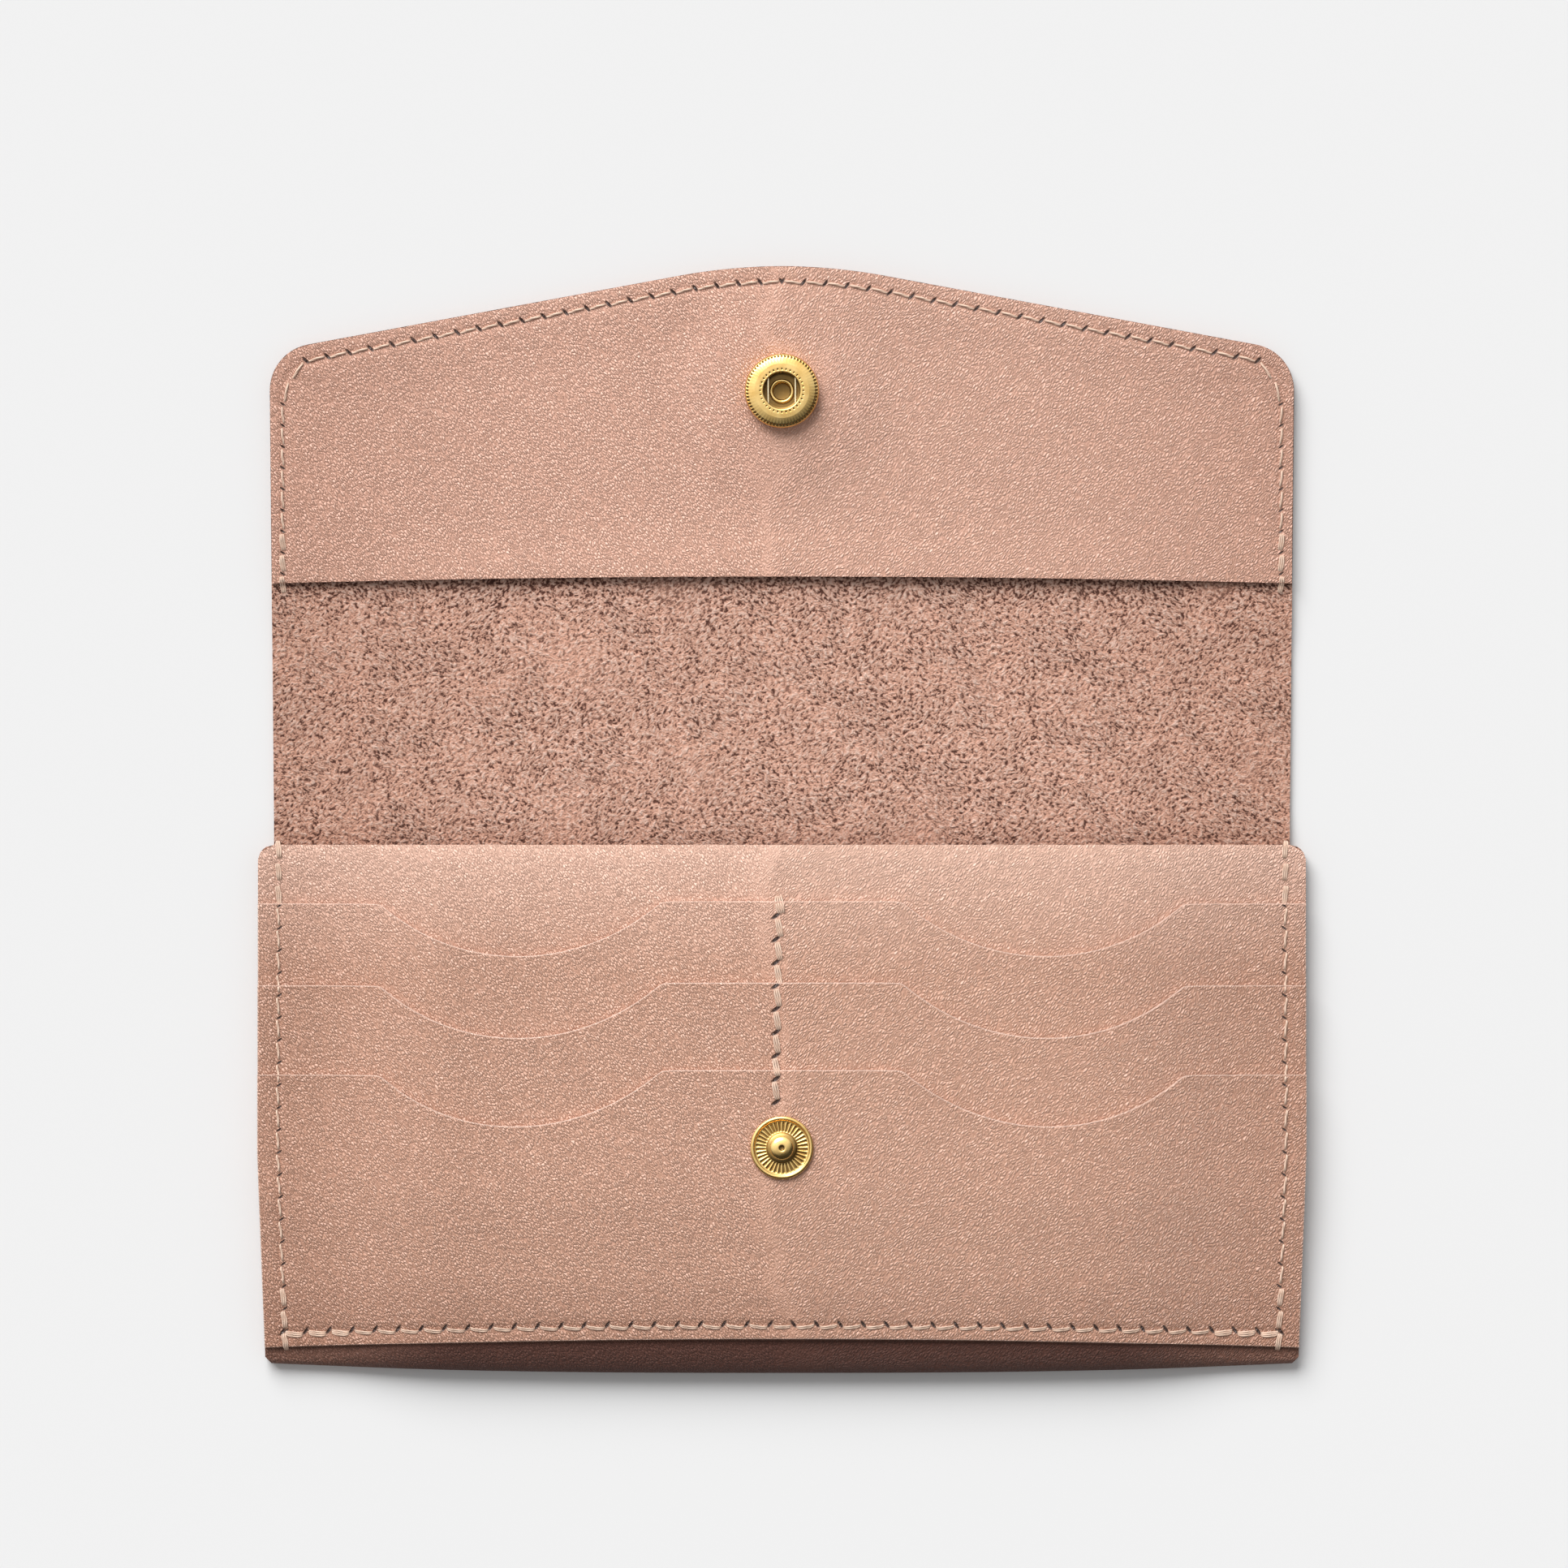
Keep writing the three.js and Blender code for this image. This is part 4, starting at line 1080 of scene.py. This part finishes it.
# %% One stitch
STITCH_SIDES = 7
STITCH_STEPS = 8


def make_stitch_master():
    """A unit stitch along X from 0 to 1, with its points' place on the stitch kept for later."""
    bpy.ops.object.select_all(action="DESELECT")
    bpy.ops.mesh.primitive_cylinder_add(vertices=STITCH_SIDES, radius=1, depth=1, location=(0, 0, 0))
    master = bpy.context.object
    bpy.ops.object.mode_set(mode="EDIT")
    bpy.ops.mesh.select_all(action="SELECT")
    for k in range(1, STITCH_STEPS):
        bpy.ops.mesh.select_all(action="SELECT")
        bpy.ops.mesh.bisect(plane_co=(0, 0, k / STITCH_STEPS - 0.5), plane_no=(0, 0, 1))
    bpy.ops.mesh.select_all(action="SELECT")
    bpy.ops.mesh.remove_doubles(threshold=1e-5)
    bpy.ops.object.mode_set(mode="OBJECT")
    return master


stitch_master = make_stitch_master()
stitch_points = get_points(stitch_master)
stitch_faces = [tuple(face.vertices) for face in stitch_master.data.polygons]
stitch_uv = np.empty(len(stitch_master.data.loops) * 2)
stitch_master.data.uv_layers.active.data.foreach_get("uv", stitch_uv)
bpy.data.objects.remove(stitch_master)
print("a stitch has", len(stitch_faces), "faces")


def stitch_between(start, end, height, style, bow=0.12 * MM, up=1):
    """Points of one stitch's strands, lying on the surface height(x, y); style is count, radius, spacing."""
    strands, thick, spacing = style
    start = np.array(start)
    end = np.array(end)
    along = end - start
    side = np.array([-along[1], along[0]]) / np.hypot(*along)
    # The rings of points stand closer together where the thread turns down into its holes
    t = 0.5 - 0.5 * np.cos(np.pi * (stitch_points[:, 2] + 0.5))
    swell = np.sin(np.pi * t) ** 0.5
    radius = thick * (0.7 + 0.3 * swell)
    dive = (2.2 * thick + 0.25 * MM) * (1 - smooth(np.minimum(t, 1 - t) / 0.11))
    made = []
    for strand in range(strands):
        spread = (strand - (strands - 1) / 2) * spacing
        drift = spread * (0.45 + 0.55 * swell) - bow * np.sin(np.pi * t)
        middle = start + np.outer(t, along) + np.outer(drift, side)
        sideways = middle + np.outer(stitch_points[:, 0] * radius, side)
        ground = height(middle[:, 0], middle[:, 1])
        rise = 0.12 * MM * swell * (strand % 2)
        level = ground + up * (0.8 * thick + rise - dive + stitch_points[:, 1] * radius)
        made.append(np.column_stack([sideways, level]))
    return made


def flip_side(strands):
    """The same strands on the other side of the wallet."""
    return [strand * np.array([-1, 1, 1]) for strand in strands]


def make_seam(name, stitches, body):
    """Joins the strands of a seam in one object, each strand a closed copy of the stitch."""
    mesh = bpy.data.meshes.new(name)
    count = len(stitch_points)
    points = np.concatenate(stitches)
    faces = [tuple(k * count + i for i in face) for k in range(len(stitches)) for face in stitch_faces]
    mesh.from_pydata(points.tolist(), [], faces)
    layer = mesh.uv_layers.new(name="UVMap")
    layer.data.foreach_set("uv", np.tile(stitch_uv, len(stitches)))
    piece = bpy.data.objects.new(name, mesh)
    bpy.context.scene.collection.objects.link(piece)
    paint(piece, thread)
    only(piece)
    bpy.ops.object.mode_set(mode="EDIT")
    bpy.ops.mesh.select_all(action="SELECT")
    bpy.ops.mesh.normals_make_consistent(inside=False)
    bpy.ops.object.mode_set(mode="OBJECT")
    bpy.ops.object.shade_smooth()
    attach(piece, body)
    print(name, "has", len(stitches), "strands")


# %% Heights that the stitches lie on
def front_height(x, y):
    """Top of the leather at a point of the pouch's front, over whichever pocket is uppermost."""
    height = stack_height(-1, x, y)
    for level in range(3):
        covers = (y < pocket_edge(level, x)) & (y > pocket_foot(level, x))
        height = np.where(covers, stack_height(level, x, y), height)
    # The last stitch of a side seam sinks into the turn of the fold
    height = np.where(y < FOLD_Y + 3.2 * MM, height - 0.5 * MM, height)
    past_mouth = smooth((y - MOUTH_Y) / (0.8 * MM))
    return height + (LEATHER + pouch_rim_lift(x, y) - height) * past_mouth


def lining_height(x, y):
    on_lining = y > LINING_EDGE_Y - LINING_EDGE_BOW * (x / HALF_FLAP) ** 2
    return np.where(on_lining, lining_face(x, y), LEATHER + flap_rim_lift(x, y))


def flap_underside(x, y):
    return dome(x, y) + flap_rim_lift(x, y)


# %% Side, bottom and centre seams
GAP_SHARE = 0.05
SLANT = 0.24 * MM
HEM_SWING = 0.3 * MM
# How many strands, their radius and their spacing
ONE = (1, 0.25 * MM, 0.0)
TWO = (2, 0.17 * MM, 0.33 * MM)
THREE = (3, 0.19 * MM, 0.37 * MM)
CENTRE = (3, 0.22 * MM, 0.42 * MM)
CENTRE_FIRST = (4, 0.22 * MM, 0.45 * MM)
END_STITCHES = 3


def walk(points, style_of, height, slant, up=1, bow=0.12 * MM):
    """Stitches from each point to the next, turned a little across the seam, with gaps for the holes."""
    made = []
    for i, (a, b) in enumerate(zip(points[:-1], points[1:])):
        step = np.subtract(b, a)
        side = np.array([-step[1], step[0]]) / np.hypot(*step)
        start = a + GAP_SHARE * step + slant * side
        end = b - GAP_SHARE * step - slant * side
        made += stitch_between(start, end, height, style_of(i), bow, up)
    return made


def one_strand(i):
    return ONE


def side_style(i):
    return THREE if i < END_STITCHES or i >= SIDE_STITCHES - END_STITCHES else ONE


def bottom_style(i):
    return THREE if i >= BOTTOM_STITCHES - END_STITCHES else TWO


def centre_style(i):
    return CENTRE_FIRST if i == 0 else CENTRE


side_points = [side_point(k) for k in range(SIDE_STITCHES + 1)]
side_strands = walk(side_points, side_style, front_height, SLANT, bow=-0.05 * MM)
back_strands = walk(side_points, one_strand, pouch_rim_lift, SLANT, up=-1)
make_seam("side_seam_right", side_strands, "pouch")
make_seam("side_seam_left", flip_side(side_strands), "pouch")
make_seam("side_seam_back_right", back_strands, "pouch")
make_seam("side_seam_back_left", flip_side(back_strands), "pouch")

bottom_x = BOTTOM_PITCH * (0.5 + np.arange(BOTTOM_STITCHES + 1))
bottom_points = list(zip(bottom_x, bottom_seam(bottom_x)))
bottom_half = walk(bottom_points, bottom_style, front_height, -SLANT, bow=HEM_SWING)
middle_points = [(-bottom_x[0], BOTTOM_SEAM_Y), bottom_points[0]]
middle_stitch = walk(middle_points, bottom_style, front_height, 0.0, bow=HEM_SWING)
make_seam("bottom_seam", bottom_half + flip_side(bottom_half) + middle_stitch, "pouch")

centre_points = [(CENTRE_SEAM_X + 0.4 * MM - 0.09 * k * MM, CENTRE_SEAM_TOP - k * CENTRE_PITCH)
                 for k in range(CENTRE_STITCHES + 1)]
make_seam("centre_seam", walk(centre_points, centre_style, front_height, -1.6 * SLANT), "pouch")

# %% Flap seam
CORNER_STITCH = (93.9 * MM, FOLD_Y + 189.5 * MM)
top_points = [flap_top_point(k) for k in range(FLAP_TOP_STITCHES + 1)]
flap_points = top_points + [CORNER_STITCH] + [flap_side_point(k) for k in range(FLAP_SIDE_STITCHES + 1)]
flap_count = len(flap_points) - 1


def flap_style(i):
    return THREE if i >= flap_count - END_STITCHES else ONE


flap_half = walk(flap_points, flap_style, lining_height, SLANT, bow=-0.05 * MM)
outside_half = walk(flap_points, one_strand, flap_underside, SLANT, up=-1)
make_seam("flap_seam", flap_half + flip_side(flap_half), "flap")
make_seam("flap_seam_outside", outside_half + flip_side(outside_half), "flap")
print("flap seam has", 2 * flap_count, "stitches")

# %% [markdown]
# ## Ring snap
# The stud, the socket and the cap are turned parts. Each starts as a circle whose points are moved to the
# part's profile, and spin turns that profile about its axis. The stud's grooves and the socket's two
# rings of small pits are then pressed in by moving points down, and an attribute darkens them with patina
# and painted shade.


# %% Turned parts
def spin_profile(name, profile, steps, place_at):
    """Turns a closed profile of (radius, height) in mm about an upright axis at place_at."""
    bpy.ops.object.select_all(action="DESELECT")
    bpy.ops.mesh.primitive_circle_add(vertices=len(profile), radius=1, location=(0, 0, 0))
    piece = bpy.context.object
    piece.name = name
    set_points(piece, [(radius * MM, 0, height * MM) for radius, height in profile])
    bpy.ops.object.mode_set(mode="EDIT")
    bpy.ops.mesh.select_all(action="SELECT")
    bpy.ops.mesh.spin(steps=steps, angle=2 * math.pi, center=(0, 0, 0), axis=(0, 0, 1))
    bpy.ops.mesh.select_all(action="SELECT")
    bpy.ops.mesh.remove_doubles(threshold=1e-6)
    bpy.ops.mesh.dissolve_degenerate(threshold=1e-7)
    bpy.ops.mesh.delete_loose()
    bpy.ops.mesh.select_all(action="SELECT")
    bpy.ops.mesh.normals_make_consistent(inside=False)
    bpy.ops.object.mode_set(mode="OBJECT")
    set_points(piece, get_points(piece) + np.array(place_at))
    bpy.ops.object.shade_smooth_by_angle(angle=math.radians(38))
    return piece


def rounded(profile, radius=0.1, steps=3):
    """Rounds the corners of a profile with short curves, leaving the points on the axis."""
    made = []
    for i, (r, z) in enumerate(profile):
        before = np.array(profile[i - 1])
        after = np.array(profile[(i + 1) % len(profile)])
        here = np.array([r, z])
        if r == 0:
            made.append((r, z))
            continue
        reach_in = min(radius, 0.45 * np.linalg.norm(before - here))
        reach_out = min(radius, 0.45 * np.linalg.norm(after - here))
        a = here + (before - here) / max(np.linalg.norm(before - here), 1e-9) * reach_in
        b = here + (after - here) / max(np.linalg.norm(after - here), 1e-9) * reach_out
        for t in np.linspace(0, 1, steps):
            made.append(tuple((1 - t) ** 2 * a + 2 * t * (1 - t) * here + t**2 * b))
    return made


def finish_metal(piece, material, body, *nodes, slot="brass"):
    paint(piece, material)
    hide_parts(*nodes)
    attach(piece, body)
    print(piece.name, len(piece.data.polygons), "faces")


# %% Stud
STUD_GROOVES = 36
GROOVE_DEPTH = 0.27 * MM
stud_profile = [
    (0, 1.35), (1.4, 1.35), (1.4, 0), (5.65, 0), (6.0, 0.28), (5.98, 0.52), (5.72, 0.72), (5.42, 0.71),
    (5.12, 0.5), (4.95, 0.48), (4.7, 0.5), (3.25, 0.5), (3.02, 0.5), (2.9, 0.52), (2.82, 0.85), (2.5, 1.02),
    (1.98, 1.12), (1.86, 1.5), (1.9, 1.8), (2.18, 2.1), (2.26, 2.3), (2.17, 2.5), (1.92, 2.7), (1.52, 2.86),
    (1.05, 2.96), (0.7, 3.0), (0.48, 2.92), (0.38, 2.75), (0, 2.7),
]


def set_patina_and_shade(piece, amount):
    layer = piece.data.attributes.new("patina", "FLOAT", "POINT")
    layer.data.foreach_set("value", np.clip(amount, 0, 1).astype(float))


def polar(piece, centre_y):
    """The piece's points, and their distances and angles about the upright axis at centre_y."""
    points = get_points(piece)
    x, y = points[:, 0], points[:, 1] - centre_y
    return points, np.hypot(x, y), np.arctan2(y, x)


stud = spin_profile("stud", rounded(stud_profile, 0.1), STUD_GROOVES * 6, (0, STUD_Y, STUD_SEAT))
points, radii, angles = polar(stud, STUD_Y)
above = points[:, 2] > STUD_SEAT + 0.3 * MM
plate = smooth((radii - 3.02 * MM) / (0.2 * MM)) * smooth((4.95 * MM - radii) / (0.2 * MM)) * above
grooves = plate * np.clip(-np.cos(angles * STUD_GROOVES) * 1.3, 0, 1)
knob_foot = (radii < 3.0 * MM) & (radii > 1.7 * MM) & (points[:, 2] < STUD_SEAT + 1.7 * MM)
pit = smooth((0.6 * MM - radii) / (0.15 * MM)) * above
points[:, 2] -= GROOVE_DEPTH * grooves
set_points(stud, points)
# Patina and painted shade in the grooves and the centre pit, painted shade on the knob's foot
set_patina_and_shade(stud, 0.75 * grooves + 0.55 * knob_foot + 0.85 * pit)
finish_metal(stud, brass, "pouch", "snap_stud")

# %% Socket with its two rings of small pits
OUTER_PITS = 64
INNER_PITS = 32
PIT_DEPTH = 0.24 * MM
socket_profile = [
    (1.9, 0), (6.1, 0), (6.85, 0.45), (7.08, 1.2), (7.08, 2.1), (7.02, 2.42), (6.93, 2.62), (6.84, 2.75),
    (6.72, 2.85), (6.6, 2.92), (6.48, 2.97), (6.3, 3.04), (5.2, 3.26), (4.5, 3.3), (4.32, 3.3), (4.22, 3.3),
    (4.12, 3.3), (4.02, 3.3), (3.92, 3.3), (3.7, 3.32), (3.52, 3.2), (3.5, 2.98), (5.6, 2.95), (5.6, 2.32),
    (3.7, 2.1), (3.5, 1.9), (3.45, 0.5), (3.1, 0.4), (1.9, 0.4),
]


def pit_ring(radius, half_width, count, gain, cut):
    """A ring of count small pits, as a narrow band at the radius that the angles cut up."""
    band = np.exp(-(((radii - radius) / half_width) ** 2))
    return band * np.clip(np.cos(angles * count) * gain - cut, 0, 1)


socket = spin_profile("socket", rounded(socket_profile, 0.05), OUTER_PITS * 6, (0, SOCKET_Y, SOCKET_SEAT))
points, radii, angles = polar(socket, SOCKET_Y)
above = points[:, 2] > SOCKET_SEAT + 2.5 * MM
outer_ring = pit_ring(6.62 * MM, 0.19 * MM, OUTER_PITS, 1.5, 0)
inner_ring = pit_ring(4.12 * MM, 0.12 * MM, INNER_PITS, 2, 1)
pits = (outer_ring + inner_ring) * above * (radii > 3.75 * MM)
inside = (radii < 5.7 * MM) & (points[:, 2] < SOCKET_SEAT + 2.97 * MM)
points[:, 2] -= PIT_DEPTH * pits
set_points(socket, points)
# Patina and painted shade in the pits, painted shade on the floor inside the socket
set_patina_and_shade(socket, 1.1 * pits + 0.8 * inside)
finish_metal(socket, brass, "flap", "snap_socket")

# %% Spring, cap and the stud's post
WIRE_SPACING = 5.2 * MM
WIRE_RUN = 5.6 * MM
bpy.ops.object.select_all(action="DESELECT")
bpy.ops.mesh.primitive_torus_add(
    major_radius=WIRE_SPACING / 2, minor_radius=0.22 * MM, major_segments=64, minor_segments=12,
)
spring = bpy.context.object
spring.name = "spring_wire"
points = get_points(spring)
points[:, 1] += np.sign(points[:, 1]) * WIRE_RUN / 2
spring_z = (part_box("snap_spring")[0].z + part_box("snap_spring")[1].z) / 2
set_points(spring, points + np.array((0, SOCKET_Y, spring_z)))
bpy.ops.object.shade_smooth()
finish_metal(spring, wire_brass, "flap", "snap_spring", slot="spring_wire")

cap_profile = [
    (0, 0), (2.5, 0), (4.2, 0.1), (5.3, 0.38), (6.0, 0.8), (6.25, 1.1), (6.1, 1.34), (1.85, 1.35),
    (1.85, 4.05), (2.2, 4.1), (2.36, 4.24), (2.3, 4.42), (2.05, 4.5), (1.78, 4.42), (1.6, 4.15), (1.6, 1.9),
    (0, 1.9),
]
cap = spin_profile("cap", rounded(cap_profile, 0.1), 96, (0, SOCKET_Y, 0))
points, radii, angles = polar(cap, SOCKET_Y)
bore = (radii < 1.7 * MM) & (points[:, 2] > 1.5 * MM)
# Painted shade inside the cap's bore
set_patina_and_shade(cap, 0.75 * bore * smooth((4.3 * MM - points[:, 2]) / (0.6 * MM)))
finish_metal(cap, brass, "flap", "snap_cap")
paint(frame["nodes"]["snap_stud_post"], brass)

# %% [markdown]
# ## Table, light and camera
# The table is a wide pale sheet that keeps the wallet's soft shadow. A large lamp at the upper left gives
# the grain its relief, and an even sky fills the shadows. An even sky makes dull brass, so glossy rays meet
# a room instead, bright on the lamp's side and dim elsewhere. The camera looks straight down.

# %% Table
bpy.ops.object.select_all(action="DESELECT")
bpy.ops.mesh.primitive_plane_add(size=6, location=(0, 0, -0.0001))
table = bpy.context.object
table.name = "table"
table_paint, _, table_shader = start_material("pale table", 0.9)
table_shader.inputs["Base Color"].default_value = (0.80, 0.80, 0.80, 1)
table_shader.inputs["Specular IOR Level"].default_value = 0.1
paint(table, table_paint)

# %% Light
SKY_STRENGTH = 0.37
ROOM_BRIGHT = 1.7
ROOM_DIM = 0.05
LAMP_FROM = Vector((-0.38, 0.87, 0.74))
world = bpy.data.worlds.new("even sky")
bpy.context.scene.world = world
world.use_nodes = True
sky = world.node_tree
background = sky.nodes["Background"]
background.inputs["Color"].default_value = (1.0, 1.0, 1.0, 1)
look = node(sky, "ShaderNodeTexCoord").outputs["Generated"]
towards = node(sky, "ShaderNodeVectorMath", {0: look}, operation="DOT_PRODUCT")
towards.inputs[1].default_value = (-0.35, 0.8, 0.5)
room = maths(sky, "MULTIPLY_ADD", towards.outputs["Value"], 1.3, -0.1, clamp=True)
mirrored_room = maths(sky, "MULTIPLY_ADD", room, ROOM_BRIGHT, ROOM_DIM - SKY_STRENGTH)
in_mirror = node(sky, "ShaderNodeLightPath").outputs["Is Glossy Ray"]
strength = maths(sky, "MULTIPLY_ADD", mirrored_room, in_mirror, SKY_STRENGTH)
sky.links.new(strength, background.inputs["Strength"])

lamp_data = bpy.data.lights.new("window", "SUN")
lamp_data.energy = 3.75
lamp_data.angle = math.radians(46)
lamp = bpy.data.objects.new("window", lamp_data)
bpy.context.scene.collection.objects.link(lamp)
lamp.location = LAMP_FROM
lamp.rotation_euler = (-LAMP_FROM).to_track_quat("-Z", "Y").to_euler()
print("lamp at", tuple(round(value, 2) for value in LAMP_FROM))

# %% Camera
IMAGE_WIDTH = 1932
PIXELS_PER_MM = 6.46
FRAME_WIDTH = IMAGE_WIDTH / PIXELS_PER_MM * MM
CAMERA_HEIGHT = 1.6
SCALE_HEIGHT = 4 * MM
SENSOR = 36.0
camera_data = bpy.data.cameras.new("camera")
camera = bpy.data.objects.new("camera", camera_data)
bpy.context.scene.collection.objects.link(camera)
camera.location = (0.4 * MM, FOLD_Y + 112.4 * MM, CAMERA_HEIGHT)
camera.rotation_euler = (0, 0, 0)
camera_data.sensor_width = SENSOR
camera_data.lens = SENSOR * (CAMERA_HEIGHT - SCALE_HEIGHT) / FRAME_WIDTH
camera_data.clip_start = 0.05
bpy.context.scene.camera = camera
bpy.context.scene.view_settings.view_transform = "Standard"
print("the frame is", round(FRAME_WIDTH, 4), "wide")
